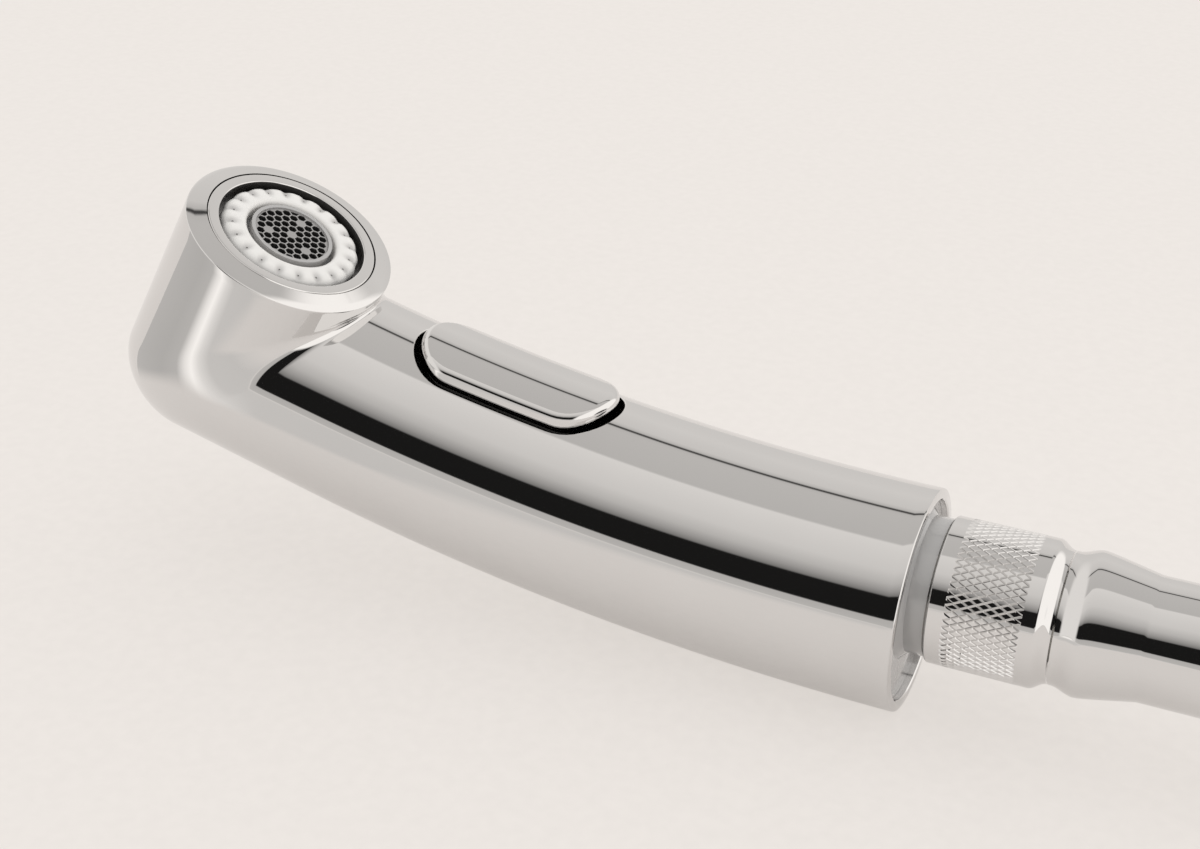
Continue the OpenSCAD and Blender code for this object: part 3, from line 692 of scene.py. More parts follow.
@dataclass(frozen=True)
class HandleShell:
    """The chrome handle and head in one piece, in millimetres."""

    radius: float = 18.5
    columns: int = 96
    head_turn: float = 103.65
    crease_round: float = 0.6
    corner_round: float = 12.3
    crease_from: float = 24.29
    corner_from: float = -7.89
    seam_at: float = 40.0
    lip_level: float = 25.49
    lip_edge: float = 0.3
    face_level: float = 26.74
    face_bore: float = 15.22
    face_lap: float = 0.12
    face_floor: float = 13.0
    face_top: float = 30.0
    cavity: float = 16.2
    neck_cavity: float = 16.1
    neck_reach: float = 26.5
    head_cavity: float = 14.4
    head_from: float = -10.5
    rim_bore: float = 16.6
    rim_depth: float = 7.0
    rim_edge: float = 0.35
    rim_flare: float = 0.2
    opening_length: float = 37.9
    opening_width: float = 18.3
    opening_shift: float = -0.05
    opening_edge: float = 0.3
    deck: float = 8.5
    bend_steps: int = 60
    seam_steps: int = 16
    corner_steps: int = 32
    head_steps: int = 14
    true_between: Point = (1.0, 104.0)
    true_from: float = 0.97

    def _ring(self, inner: Point, outer: Point, wide: float | None = None) -> list[Vector]:
        """One ring of the outer skin between two points of the neck's side view.

        Args:
            inner: Place of the ring's point in the crook, along and above the neck's axis.
            outer: Place of the opposite point.
            wide: Half width, or None for the handle's radius.

        Returns:
            The ring's points in the row frame.
        """
        a, b = Vector(inner), Vector(outer)
        middle, half = (a + b) / 2, (a - b) / 2
        wide = self.radius if wide is None else wide
        ring = []
        for number in range(self.columns):
            turn = FULL_TURN * number / self.columns
            flat = middle + half * math.cos(turn)
            ring.append(BEND.at(BEND.straight - flat.x, wide * math.sin(turn), flat.y))
        return ring

    def _head_point(self, side: float, level: float) -> Point:
        """A point of the head's side view, in the neck's side view."""
        turn = math.radians(self.head_turn)
        return (-math.cos(turn) * level + math.sin(turn) * side,
                math.sin(turn) * level + math.cos(turn) * side)

    def _skin(self) -> list[list[Vector]]:
        """The rings of the whole outer skin, from the rear rim to the spray face."""
        r = self.radius
        rings = [self._ring((BEND.straight, r - self.rim_edge),
                            (BEND.straight, self.rim_edge - r), r - self.rim_edge)]
        for part in (0.3, 0.65, 1.0):
            less = self.rim_edge * (1 - math.sqrt(1 - (1 - part) ** 2))
            at = BEND.straight - self.rim_edge * part
            rings.append(self._ring((at, r - less), (at, less - r), r - less))
        length = BEND.straight - self.rim_edge - self.seam_at
        for step in range(1, self.bend_steps):
            at = BEND.straight - self.rim_edge - length * step / self.bend_steps
            rings.append(self._ring((at, r), (at, -r)))
        for step in range(self.seam_steps):
            part = step / self.seam_steps
            rings.append(self._ring((self.seam_at + (self.crease_from - self.seam_at) * part, r),
                                    (self.seam_at + (self.corner_from - self.seam_at) * part, -r)))
        for step in range(self.corner_steps + 1):
            turn = math.radians(self.head_turn) * step / self.corner_steps
            inner = (self.crease_from - self.crease_round * math.sin(turn),
                     r + self.crease_round - self.crease_round * math.cos(turn))
            outer = (self.corner_from - self.corner_round * math.sin(turn),
                     self.corner_round - r - self.corner_round * math.cos(turn))
            rings.append(self._ring(inner, outer))
        lip, edge = self.lip_level, self.lip_edge
        for step in range(1, self.head_steps + 1):
            inner, outer = (start + (lip - start) * step / self.head_steps
                            for start in (self.crease_from, self.corner_from))
            rings.append(self._ring(self._head_point(r, inner), self._head_point(-r, outer)))
        rows = [(r - edge * (1 - math.sqrt(1 - part * part)), lip + edge * part)
                for part in (0.25, 0.6, 1.0)]
        rows += [(r - edge + (self.face_bore - self.face_lap - r + edge) * part,
                  lip + edge + (self.face_level - lip - edge) * part)
                 for part in (0.33, 0.66, 1.0)]
        for wide, level in rows:
            rings.append(self._ring(self._head_point(wide, level),
                                    self._head_point(-wide, level), wide))
        return rings

    def _tube(self, radius: float, start: float, end: float) -> Piece:
        """A round bar that follows the handle's curve, to cut its cavity with.

        Args:
            radius: Radius of the bar.
            start: Where it starts along the curve.
            end: Where it ends.

        Returns:
            The closed bar.
        """
        rings = []
        for step in range(self.corner_steps + 1):
            at = start + (end - start) * step / self.corner_steps
            rings.append([BEND.at(at, side, height) for height, side in round_points(radius, 72)])
        return Bench.loft("cavity_bar", rings)

    def _opening(self) -> Piece:
        """The solid that cuts the button's opening, flared at the skin to round its edge."""
        rings = []
        edge = self.opening_edge
        turns = [math.radians(degrees) for degrees in (0, 25, 50, 70, 84)]
        flare = [(None, 0.0), *[(edge * (math.sin(t) - 1), edge * (1 - math.cos(t)))
                                for t in turns], (0.05, edge * 1.15), (4.0, edge * 1.15)]
        for rise, grow in flare:
            ring = []
            for x, y, _, _ in stadium(self.opening_length, self.opening_width, -grow):
                x += self.opening_shift
                skin = BEND.level(x, math.sqrt(self.radius ** 2 - y * y))
                ring.append(BUTTON.at(x, y, self.deck if rise is None else skin + rise))
            rings.append(ring)
        return Bench.loft("opening_bar", rings)

    def _facing(self, place: Vector, normal: Vector) -> Vector | None:
        """The curved tube's true normal at a place, or None off it.

        Args:
            place: A corner's place, in millimetres.
            normal: Its face's normal.

        Returns:
            The tube's normal there, or None.
        """
        reach = math.hypot(place.x, BEND.radius - place.z)
        along = BEND.radius * math.atan2(-place.x, BEND.radius - place.z)
        if not self.true_between[0] < along < self.true_between[1] or place.x > 0:
            return None
        height = BEND.radius - reach
        if abs(math.hypot(height, place.y) - self.radius) > SLACK:
            return None
        out = Vector((-place.x / reach * height, place.y, (BEND.radius - place.z) / reach * height))
        out.normalize()
        return out if out.dot(normal) > self.true_from else None

    def build(self) -> None:
        """Models the shell, cuts its opening and cavities and dresses it."""
        bore, flare = self.rim_bore, self.rim_flare
        mouth = bore + flare
        back = Axes((0, 0, 0), (0, 0, 1), (-1, 0, 0))
        across = Axes(NECK.origin, (0, 1, 0), NECK.x)
        shell = Bench.loft("handle_chrome", self._skin())
        for bar in (
                self._opening(),
                Bench.turn("rim_bar", [(0.0, -PAST), (mouth, -PAST), (mouth, 0.0), (bore, flare),
                                       (bore, self.rim_depth), (0.0, self.rim_depth)], back, 72),
                self._tube(self.cavity, self.rim_depth - PAST, BEND.arc),
                Bench.rod("neck_bar", self.neck_cavity, (0.0, self.neck_reach), across),
                Bench.rod("head_bar", self.head_cavity, (self.head_from, self.face_floor + PAST),
                          HEAD),
                Bench.rod("face_bar", self.face_bore, (self.face_floor, self.face_top), HEAD,
                          144)):
            Bench.cut(shell, bar)
        Bench.smooth(shell, 28)
        Bench.true(shell, self._facing)
        Bench.finish(shell, "handset", Slot.CHROME, "handle_shell")


@dataclass(frozen=True)
class PushButton:
    """The crowned chrome button, in millimetres."""

    length: float = 35.7
    width: float = 16.1
    shift: float = -0.05
    crown: float = 15.2
    top: float = 20.8
    edge: float = 1.5
    skirt: float = 12.0
    round_steps: int = 8
    probe: float = 0.05
    tries: int = 4
    true_within: float = 0.004
    true_from: float = 0.86

    def _level(self, x: float, y: float) -> float:
        """Height of the crowned top over the button's frame."""
        return BEND.level(x, self.top - self.crown + math.sqrt(self.crown ** 2 - y * y))

    def _rings(self) -> list[list[Vector]]:
        """The rings from the skirt, round the edge and in over the top."""
        outline = stadium(self.length, self.width)
        rows: list[list[Place]] = [[(x, y, self.skirt) for x, y, _, _ in outline]]
        rows += [[] for _ in range(self.round_steps + 1)]
        tangents = []
        for x, y, out_x, out_y in outline:
            slope = 0.0
            base = Vector((x, y))
            out = Vector((out_x, out_y))
            for _ in range(self.tries):
                held = self.edge * (1 - math.sin(slope))
                near = base - out * held
                far = base - out * (held + self.probe)
                slope = math.atan((self._level(*far) - self._level(*near)) / self.probe)
            low = self._level(*near) - self.edge * math.cos(slope)
            middle = base - out * self.edge
            for step in range(self.round_steps + 1):
                lean = math.radians(90) + (slope - math.radians(90)) * step / self.round_steps
                spot = middle + out * (self.edge * math.sin(lean))
                rows[step + 1].append((spot.x, spot.y, low + self.edge * math.cos(lean)))
            tangents.append(held)
        for part in (0.12, 0.3, 0.5, 0.72, 0.9, 1.0):
            row = []
            for (x, y, out_x, out_y), held in zip(outline, tangents):
                inset = held + (self.width / 2 - held) * part
                spot = Vector((x, y)) - Vector((out_x, out_y)) * inset
                row.append((spot.x, spot.y, self._level(*spot)))
            rows.append(row)
        return [[BUTTON.at(x + self.shift, y, z) for x, y, z in row] for row in rows]

    def _facing(self, place: Vector, normal: Vector) -> Vector | None:
        """The crown's true normal at a place on the top, or None elsewhere."""
        out = place - Vector(BUTTON.origin)
        x = out.dot(Vector(BUTTON.x)) - self.shift
        z = out.dot(Vector(BUTTON.z))
        off = abs(z - self._level(x, place.y))
        if normal.dot(Vector(BUTTON.z)) < self.true_from or off > self.true_within:
            return None
        across = math.sqrt(self.crown ** 2 - place.y ** 2)
        up = Vector(BUTTON.z) * across + Vector((0, place.y, 0)) - Vector(BUTTON.x) * (
            across * x / (BEND.radius - self.top))
        return up.normalized()

    def build(self) -> None:
        """Models and dresses the button."""
        button = Bench.loft("push_button", self._rings())
        Bench.smooth(button, 35)
        Bench.true(button, self._facing)
        Bench.finish(button, "button", Slot.CHROME, "diverter_button")


@dataclass(frozen=True)
class SprayFace:
    """The chrome ring and the white nozzle plate, in millimetres."""

    face_level: float = 26.74
    ring_outer: float = 15.05
    ring_inner: float = 13.05
    ring_base: float = 19.5
    ring_edge: float = 0.3
    wall_slack: float = 0.05
    wall_from: float = 0.9
    plate_radius: float = 12.4
    flange_radius: float = 12.95
    flange_rise: float = 1.7
    plate_bore: float = 8.0
    plate_drop: float = 0.08
    bore_round: float = 0.9
    crown_from: float = 10.6
    crown_round: float = 1.8
    crown_depth: float = 2.6
    groove: Place = (12.5, 3.75, 1.8)
    nozzles: int = 20
    nozzle_circle: float = 10.6
    nozzle_phase: float = 4.5
    petal_depth: float = 0.16
    petal_from: Point = (11.2, 0.9)
    petal_base: Point = (3.4, 1.6)
    dimple_depth: float = 0.5
    dimple_wide: float = 0.66
    dimple_long: float = 1.15
    dimple_shift: float = 0.3
    dimple_reach: float = 2.0
    nozzle_hole: float = 0.17
    columns: int = 320

    def _plate_rows(self) -> list[tuple[float, float]]:
        """Radius and height of the plate's rows, from the bore over the crown to the flange."""
        top = self.face_level - self.plate_drop
        low, flange = self.ring_base, self.ring_base + self.flange_rise
        bore, inner, outer = self.plate_bore, self.bore_round, self.crown_round
        rows = [(bore, low), (bore, top - 1.0)]
        rows += [(bore + inner * (1 - math.cos(turn)), top - inner + inner * math.sin(turn))
                 for turn in map(math.radians, (0, 20, 40, 60, 78, 90))]
        rows += [(radius, top) for radius in (9.15, 9.4, 9.6, 9.8, 10.0, 10.2, 10.4, 10.6)]
        rows += [(self.crown_from + outer * math.sin(turn), top - outer + outer * math.cos(turn))
                 for turn in map(math.radians, range(6, 91, 6))]
        return rows + [(self.plate_radius, top - self.crown_depth), (self.plate_radius, flange),
                       (self.flange_radius, flange), (self.flange_radius, low)]

    def _dimple(self, degrees: float, radius: float) -> float:
        """How far down a place of the plate lies in its dimple, from 0 to 1; the same value sets
        the painted shade in the dimples.
        """
        phase = (degrees - self.nozzle_phase) * self.nozzles / 360
        off = (phase - round(phase)) * FULL_TURN / self.nozzles * radius
        return math.exp(-((off / self.dimple_wide) ** 2 + (
            (radius - self.nozzle_circle - self.dimple_shift) / self.dimple_long) ** 2))

    def _plate_ring(self, radius: float, height: float) -> list[Vector]:
        """One row of the plate, with its petals and the dimple over each nozzle.

        Args:
            radius: The row's plain radius.
            height: The row's plain height.

        Returns:
            The row's points in the row frame.
        """
        ring = []
        for number in range(self.columns):
            turn = FULL_TURN * number / self.columns
            phase = (math.degrees(turn) - self.nozzle_phase) * self.nozzles / 360
            petal = 0.5 + 0.5 * math.cos(2 * math.pi * phase)
            rim = math.prod(max(0.0, min(1.0, (value - start) / ease)) for value, (start, ease) in (
                (radius, self.petal_from), (height - self.ring_base, self.petal_base)))
            wide = radius - self.petal_depth * petal * rim
            near = self._dimple(math.degrees(turn), radius)
            level = height
            if height > self.face_level - self.dimple_reach:
                level -= self.dimple_depth * near
            ring.append(HEAD.at(wide * math.cos(turn), wide * math.sin(turn), level))
        return ring

    def build(self) -> None:
        """Models and dresses the ring and the plate."""
        top, low = self.face_level, self.ring_base
        groove, roof, foot = self.groove[0], top - self.groove[1], low + self.groove[2]
        ring = Bench.turn("spray_ring", fillet((
            (self.ring_inner, low, 0), (self.ring_outer, low, 0),
            (self.ring_outer, top, self.ring_edge), (self.ring_inner, top, self.ring_edge),
            (self.ring_inner, roof, 0), (groove, roof, 0), (groove, foot, 0),
            (self.ring_inner, foot, 0))), HEAD, 144)
        Bench.smooth(ring, 30)
        Bench.finish(ring, "handset", Slot.CHROME, "face_ring")
        # The ring's inner wall, which faces the plate, is painted black as shade in the gap between
        # ring and plate; the black finish is also the button frame's own black.
        ring.data.materials.append(BLACK_TRIM_AND_GAP_SHADE.material())
        axis = Vector(HEAD.z)
        for face in ring.data.polygons:
            out = face.center / MM - Vector(HEAD.origin)
            out -= axis * out.dot(axis)
            inwards = -face.normal.dot(out.normalized())
            if out.length < self.ring_inner + self.wall_slack and inwards > self.wall_from:
                face.material_index = 1

        rows = self._plate_rows()
        rows.append(rows[0])
        plate = Bench.loft("nozzle_face", [self._plate_ring(*row) for row in rows])
        places = round_points(self.nozzle_circle, self.nozzles, self.nozzle_phase)
        Bench.cut(plate, Bench.bars(places, self.nozzle_hole, 16, (low - PAST, top + PAST)))
        Bench.smooth(plate, 40)
        # Painted shade in the dimples: each point's depth in its dimple is stored for the finish to
        # darken by.
        dimple_shade = plate.data.attributes.new(DIMPLE_SHADE, "FLOAT", "POINT")
        home = HEAD.matrix().inverted()
        for mark, point in zip(dimple_shade.data, plate.data.vertices):
            place = home @ point.co / MM
            mark.value = self._dimple(math.degrees(math.atan2(place.y, place.x)),
                                      math.hypot(place.x, place.y))
        Bench.finish(plate, "handset", Slot.WHITE_PLASTIC, "nozzle_plate", finish=NOZZLE_WHITE)


@dataclass(frozen=True)
class StreamComb:
    """The aerator's honeycomb with its four closed cells, in millimetres."""

    radius: float = 6.55
    rim: float = 0.15
    top: float = 26.25
    base: float = 22.15
    pitch: float = 1.58
    wall: float = 0.22
    rows: int = 5
    pin_circle: float = 4.18
    pin_angle: float = 101.0
    pin_reach: float = 0.6

    def _open(self, x: float, y: float) -> bool:
        """Whether the cell at a place is within the comb and not one of the closed ones."""
        pins = [(0.0, 0.0), *round_points(self.pin_circle, 3, self.pin_angle)]
        near = min(math.hypot(x - a, y - b) for a, b in pins)
        return math.hypot(x, y) < self.radius + self.rim and near > self.pin_reach

    def build(self) -> None:
        """Models and dresses the honeycomb."""
        comb = Bench.rod("honeycomb", self.radius, (self.base, self.top), HEAD)
        places = [((column + (row % 2) / 2) * self.pitch,
                   row * self.pitch * math.sin(math.radians(60)))
                  for row in range(-self.rows, self.rows + 1)
                  for column in range(-self.rows, self.rows + 1)]
        cells = Bench.bars([place for place in places if self._open(*place)],
                           (self.pitch - self.wall) / math.sqrt(3), 6,
                           (self.base - PAST, self.top + PAST))
        trim = Bench.rod("trim_bar", self.radius - self.rim,
                         (self.base - 2 * PAST, self.top + 2 * PAST), HEAD)
        Bench.cut(cells, trim, "INTERSECT")
        Bench.cut(comb, cells)
        Bench.smooth(comb, 25)
        Bench.finish(comb, "handset", Slot.GREY_PLASTIC, "stream_comb", finish=GREY_COMB)


@dataclass(frozen=True)
class UnionNut:
    """The knurled union nut, in millimetres."""

    radius: float = 12.03
    start: float = 3.3
    knurl_start: float = 5.95
    knurl_end: float = 17.65
    end: float = 22.2
    bore: float = 10.53
    neck: float = 7.3
    shoulder: float = 16.2
    across: int = 63
    along: int = 5
    depth: float = 0.24
    land_gap: float = 0.17
    seat: float = 0.3
    edge: float = 0.35
    end_reach: float = 0.3
    waist: float = 10.72
    ease: float = 2.7
    ease_steps: int = 14
    floor_gap: float = 0.01
    true_from: float = 0.985

    def _band(self) -> Piece:
        """The knurled band: a faceted tube, its faces poked, joined into diamonds and inset."""
        low = self.radius - self.depth
        step = (self.knurl_end - self.knurl_start) / self.along
        band = Bench.extrude("knurl_band", [
            [HOSE.at(*point, self.knurl_start + step * row)
             for point in round_points(low, self.across)] for row in range(self.along + 1)])
        bpy.ops.mesh.select_all(action="SELECT")
        bpy.ops.mesh.normals_make_consistent(inside=False)
        mesh = bmesh.from_edit_mesh(band.data)
        old = mesh.edges.layers.int.new("grid")
        for edge in mesh.edges:
            edge[old] = 1
        bmesh.update_edit_mesh(band.data)
        bpy.ops.mesh.poke()
        mesh = bmesh.from_edit_mesh(band.data)
        old = mesh.edges.layers.int["grid"]
        bpy.ops.mesh.select_all(action="DESELECT")
        bpy.ops.mesh.select_mode(type="EDGE")
        for edge in mesh.edges:
            edge.select_set(not edge.is_boundary and edge[old] == 1)
        bmesh.update_edit_mesh(band.data)
        bpy.ops.mesh.dissolve_edges(use_verts=False)
        bpy.ops.mesh.select_all(action="SELECT")
        self._spread(band, low)
        bpy.ops.mesh.inset(thickness=self.land_gap * MM, depth=0.0, use_individual=True,
                           use_boundary=True)
        mesh = bmesh.from_edit_mesh(band.data)
        for face in mesh.faces:
            if face.select:
                for point in face.verts:
                    self._set_radius(point, self.radius)
                    for end in (self.knurl_start, self.knurl_end):
                        if len(face.verts) == 3 and abs(point.co.x / MM - end) < self.end_reach:
                            point.co.x = end * MM
        bmesh.update_edit_mesh(band.data)
        bpy.ops.mesh.select_all(action="DESELECT")
        bpy.ops.mesh.select_mode(type="EDGE")
        bpy.ops.mesh.select_non_manifold()
        bpy.ops.mesh.extrude_region()
        self._spread(band, low - self.seat)
        bpy.ops.mesh.bridge_edge_loops()
        bpy.ops.mesh.select_all(action="SELECT")
        bpy.ops.mesh.normals_make_consistent(inside=False)
        bpy.ops.object.mode_set(mode="OBJECT")
        return band

    @staticmethod
    def _set_radius(point: bmesh.types.BMVert, radius: float) -> None:
        """Moves a point of the band to a radius round the hose's axis."""
        axis = Vector((point.co.x, 0.0, HOSE.origin[2] * MM))
        out = point.co - axis
        point.co = axis + out.normalized() * radius * MM

    def _spread(self, band: Piece, radius: float) -> None:
        """Moves the band's selected points to a radius round the hose's axis."""
        mesh = bmesh.from_edit_mesh(band.data)
        for point in mesh.verts:
            if point.select:
                self._set_radius(point, radius)
        bmesh.update_edit_mesh(band.data)

    def _shoulder(self) -> list[tuple[float, float, float]]:
        """The nut's end, drawn in to its waist on one easy curve."""
        points = []
        for step in range(self.ease_steps + 1):
            part = step / self.ease_steps
            points.append((self.waist + (self.radius - self.waist) * (0.5 + 0.5 * math.cos(
                math.pi * part)), self.end - self.ease * (1 - part), 0.0))
        return points

    def _facing(self, place: Vector, normal: Vector) -> Vector | None:
        """The drum's true normal on its lands and plain bands, or None elsewhere."""
        out = Vector((0.0, place.y, place.z - HOSE.origin[2]))
        if abs(out.length - self.radius) > SLACK:
            return None
        out.normalize()
        return out if out.dot(normal) > self.true_from else None

    def build(self) -> None:
        """Models and dresses the nut."""
        floor = self.radius - self.depth - self.floor_gap
        nut = Bench.turn("knurled_nut", fillet((
            (self.bore, self.start, 0), (self.radius, self.start, self.edge),
            (self.radius, self.knurl_start, 0), (floor, self.knurl_start, 0),
            (floor, self.knurl_end, 0), (self.radius, self.knurl_end, 0),
            *self._shoulder(), (self.neck, self.end, 0), (self.neck, self.shoulder, 0),
            (self.bore, self.shoulder, 0))), HOSE, 126)
        band = self._band()
        Bench.hold(nut)
        band.select_set(True)
        bpy.ops.object.join()
        Bench.smooth(nut, 20)
        Bench.true(nut, self._facing)
        Bench.finish(nut, "nut", Slot.CHROME, "union_nut")


@dataclass(frozen=True)
class HoseSleeve:
    """The rigid chrome sleeve behind the nut, with its bell, in millimetres."""

    start: float = 22.5
    foot: float = 10.72
    crest: float = 11.72
    crest_at: float = 26.6
    sleeve: float = 10.0
    sleeve_at: float = 35.8
    end: float = 72.0
    bore: float = 7.25
    bore_end: float = 27.0
    socket: float = 8.6
    lap: float = 0.2
    sag: Point = (0.07, 0.1)
    end_edge: float = 0.4
    crest_steps: int = 16
    bell_steps: int = 18

    def _outline(self) -> list[Point]:
        """The sleeve's closed outline, with its two eased curves."""
        points = [(self.bore, self.start), (self.foot, self.start)]
        for step in range(1, self.crest_steps + 1):
            part = step / self.crest_steps
            ease = 0.5 - 0.5 * math.cos(math.pi * part)
            points.append((self.foot + (self.crest - self.foot) * ease,
                           self.start + self.lap
                           + (self.crest_at - self.start - self.lap) * part))
        for step in range(1, self.bell_steps + 1):
            part = step / self.bell_steps
            ease = part + self.sag[0] * (math.exp(-part / self.sag[1]) - 1) * (1 - part)
            points.append((self.crest + (self.sleeve - self.crest) * max(0.0, ease),
                           self.crest_at + (self.sleeve_at - self.crest_at) * part))
        edge, bevel = self.end_edge, 0.3 * self.end_edge
        points += [(self.sleeve, self.end - edge), (self.sleeve - bevel, self.end - bevel),
                   (self.sleeve - edge, self.end), (self.socket, self.end),
                   (self.socket, self.bore_end), (self.bore, self.bore_end)]
        return points

    def build(self) -> None:
        """Models and dresses the sleeve."""
        sleeve = Bench.turn("hose_sleeve", self._outline(), HOSE, 96)
        Bench.smooth(sleeve, 25)
        Bench.finish(sleeve, "hose_coupling", Slot.CHROME, "hose_ferrule")


@dataclass(frozen=True)
class Studio:
    """The floor, the soft light round the spray and the camera."""

    camera_at: Place = (48.83, -245.09, 165.02)
    right: Place = (0.91478, 0.40366, 0.01551)
    down: Place = (0.20634, -0.43390, -0.87702)
    forward: Place = (-0.34729, 0.80548, -0.48021)
    lens: float = 54.66
    sensor: float = 36.0
    floor_level: float = -18.5
    floor_side: float = 3000.0
    floor_colour: Place = (0.75, 0.715, 0.69)
    key_aim: Place = (0.5, 0.35, 0.8)
    key_swing: float = 0.55
    key_base: float = 0.80
    page_colour: Place = (0.867, 0.817, 0.772)
    page_share: float = 0.74
    bounce_share: float = 0.45
    page_spread: float = 0.015
    below_colour: Place = (0.78, 0.75, 0.72)
    left_level: float = 0.92
    right_level: float = 1.2
    head_foot: float = -119.0
    streak_reach: Point = (0.072, 0.098)
    streak: tuple[Place, ...] = (
        (-180, 0.60, 1.0), (-150, 0.56, 1.0), (-137, 0.60, 1.0), (-131, 1.0, 1.0),
        (-126, 1.22, 1.0), (-120, 0.92, 1.0), (-113, 0.72, 1.0), (-96, 0.70, 1.0),
        (-76, 0.76, 0.0))
    warmth: Place = (1.0, 0.968, 0.935)
    strip_lean: Point = (0.9135, 0.4067)
    strip_ends: tuple[Point, Point, Point] = ((-0.40, -0.56), (0.40, 0.52), (0.97, 0.92))
    zones: tuple[Point, ...] = (
        (0.0, 0.60), (7.8, 0.55), (8.6, 0.012), (33.6, 0.012), (35.2, 0.24), (40.0, 0.40),
        (48.0, 0.60), (60.0, 0.76), (86.5, 0.86), (88.3, 0.60), (118.0, 0.63), (121.9, 0.60),
        (123.2, 0.06), (124.4, 0.06), (125.7, 0.60), (130.0, 0.74), (150.0, 0.79), (180.0, 0.72))

    def camera(self) -> None:
        """Adds the camera at the photograph's place and makes it the scene's."""
        lens = bpy.data.cameras.new("photo_camera")
        lens.lens = self.lens
        lens.sensor_width = self.sensor
        lens.sensor_fit = "HORIZONTAL"
        lens.clip_start = 0.01
        lens.clip_end = 50.0
        eye = bpy.data.objects.new("photo_camera", lens)
        turn = Matrix((self.right, -Vector(self.down), -Vector(self.forward))).transposed()
        eye.matrix_world = Matrix.Translation(Vector(self.camera_at) * MM) @ turn.to_4x4()
        bpy.context.scene.collection.objects.link(eye)
        bpy.context.scene.camera = eye

    def floor(self) -> None:
        """Lays the plain pale floor, with a faint leather grain."""
        bpy.ops.mesh.primitive_plane_add(size=self.floor_side * MM,
                                         location=(0, 0, self.floor_level * MM))
        bpy.ops.object.transform_apply(location=True, rotation=True, scale=True)
        floor = bpy.context.object
        floor.name = "studio_floor"
        made = bpy.data.materials.new("pale_floor")
        made.use_nodes = True
        nodes = Nodes(made.node_tree)
        shader = made.node_tree.nodes["Principled BSDF"]
        grain = nodes.noise(260.0, 3.0)
        raised = nodes.add("Bump", {"Strength": 0.08, "Distance": 0.0003, "Height": grain})
        nodes.feed(shader, {
            "Roughness": 0.7, "Specular IOR Level": 0.15, "Normal": raised.outputs["Normal"],
            "Base Color": nodes.mottled(grain, self.floor_colour, self.page_spread, (0.0, 1.0))})
        nodes.feed(made.node_tree.nodes["Material Output"], {
            "Surface": self._streak(nodes, self._page(nodes, shader.outputs[0]))})
        floor.data.materials.append(made)

    def _page(self, nodes: Nodes, under: Socket) -> Socket:
        """Lifts the floor for the camera and, in part, for reflections.

        Args:
            nodes: The floor's nodes.
            under: The floor's own shader.

        Returns:
            The lifted shader.
        """
        path = nodes.add("LightPath").outputs
        page = nodes.add("Emission", {"Color": nodes.mottled(
            nodes.noise(420.0, 2.0), self.page_colour, self.page_spread, (0.3, 0.7))})
        seen = nodes.maths("MULTIPLY", path["Is Camera Ray"], self.page_share)
        share = nodes.maths("MULTIPLY_ADD", path["Is Glossy Ray"], self.bounce_share, seen)
        return nodes.cover(share, under, page.outputs[0])

    def _streak(self, nodes: Nodes, under: Socket) -> Socket:
        """Lays a soft streak of light round the head, which only reflections see.

        Args:
            nodes: The floor's nodes.
            under: The floor's shader.

        Returns:
            The shader with the streak.
        """
        x, y, _ = nodes.parts(nodes.place())
        out = nodes.maths("SUBTRACT", x, self.head_foot * MM)
        share = nodes.maths("ADD", nodes.maths("DIVIDE", nodes.maths("ARCTAN2", y, out),
                                               math.pi), 1.0)
        reach = nodes.maths("SQRT", nodes.maths("ADD", nodes.maths("MULTIPLY", out, out),
                                                nodes.maths("MULTIPLY", y, y)))
        ramp = nodes.ramp(share, [(degrees / HALF_TURN + 1, rgba(self.warmth, level, alpha))
                                  for degrees, level, alpha in self.streak])
        glow = nodes.add("Emission", {"Color": ramp.outputs["Color"]})
        strength = nodes.maths("MULTIPLY", nodes.rise(reach, self.streak_reach),
                               ramp.outputs["Alpha"])
        seen = nodes.maths("MULTIPLY", nodes.add("LightPath").outputs["Is Glossy Ray"], strength)
        return nodes.cover(seen, under, glow.outputs[0])

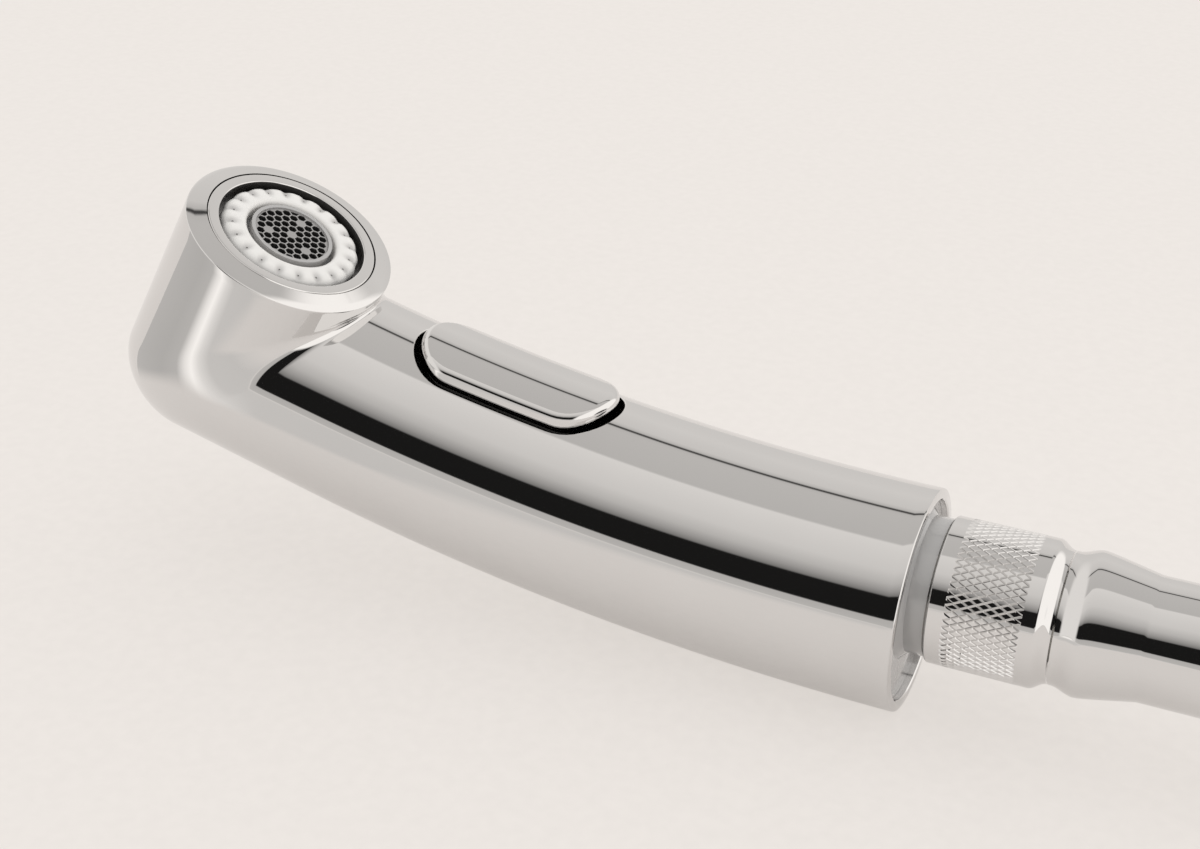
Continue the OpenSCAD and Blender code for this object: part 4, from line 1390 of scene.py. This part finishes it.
    def _room(self, nodes: Nodes, way: Socket) -> Socket:
        """What the chrome sees round it: pale walls, black strips and a soft top.

        Args:
            nodes: The world's nodes.
            way: The direction looked in.

        Returns:
            The colour in that direction.
        """
        x, y, z = nodes.parts(way)
        front = nodes.maths("SUBTRACT", nodes.maths("MULTIPLY", x, self.strip_lean[1]),
                            nodes.maths("MULTIPLY", y, self.strip_lean[0]))
        degrees = nodes.maths("MULTIPLY", nodes.maths("ARCTAN2", z, front), HALF_TURN / math.pi)
        share = nodes.maths("DIVIDE", nodes.maths("MAXIMUM", degrees, 0.0), HALF_TURN)
        room = nodes.ramp(share, [(at / HALF_TURN, rgba(self.warmth, level))
                                  for at, level in self.zones]).outputs["Color"]
        left, right, end = (nodes.rise(x, ends) for ends in self.strip_ends)
        room = nodes.mix(left, room, rgba(self.warmth, self.left_level))
        room = nodes.mix(nodes.maths("MULTIPLY", right, end), room,
                         rgba(self.warmth, self.right_level))
        return nodes.mix(nodes.maths("LESS_THAN", z, 0.0), room, rgba(self.below_colour))

    def light(self) -> None:
        """Surrounds the spray: the room for reflections, a soft key for the rest."""
        world = bpy.data.worlds.new("studio")
        bpy.context.scene.world = world
        world.use_nodes = True
        nodes = Nodes(world.node_tree)
        path = nodes.add("LightPath").outputs
        way = nodes.add("TexCoord").outputs["Generated"]
        lean = nodes.add("VectorMath", {0: way, 1: Vector(self.key_aim).normalized()},
                         operation="DOT_PRODUCT")
        key = nodes.maths("MULTIPLY_ADD", lean.outputs["Value"], self.key_swing, self.key_base)
        seen = nodes.mix(path["Is Glossy Ray"], key, self._room(nodes, way))
        nodes.feed(world.node_tree.nodes["Background"], {
            "Color": nodes.mix(path["Is Camera Ray"], seen, rgba(self.page_colour)),
            "Strength": 1.0})

    def build(self) -> None:
        """Sets up the camera, the floor and the light."""
        self.camera()
        self.floor()
        self.light()
        bpy.context.scene.view_settings.view_transform = "Standard"


def main() -> None:
    """Loads the frame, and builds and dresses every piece."""
    logging.basicConfig(level=logging.INFO, format="%(message)s")
    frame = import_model()
    bpy.ops.object.select_all(action="DESELECT")
    Studio().build()
    InnerWorks().dress(frame["nodes"])
    for piece in (HandleShell(), PushButton(), SprayFace(), StreamComb(), UnionNut(),
                  HoseSleeve()):
        piece.build()


if __name__ == "__main__":
    main()
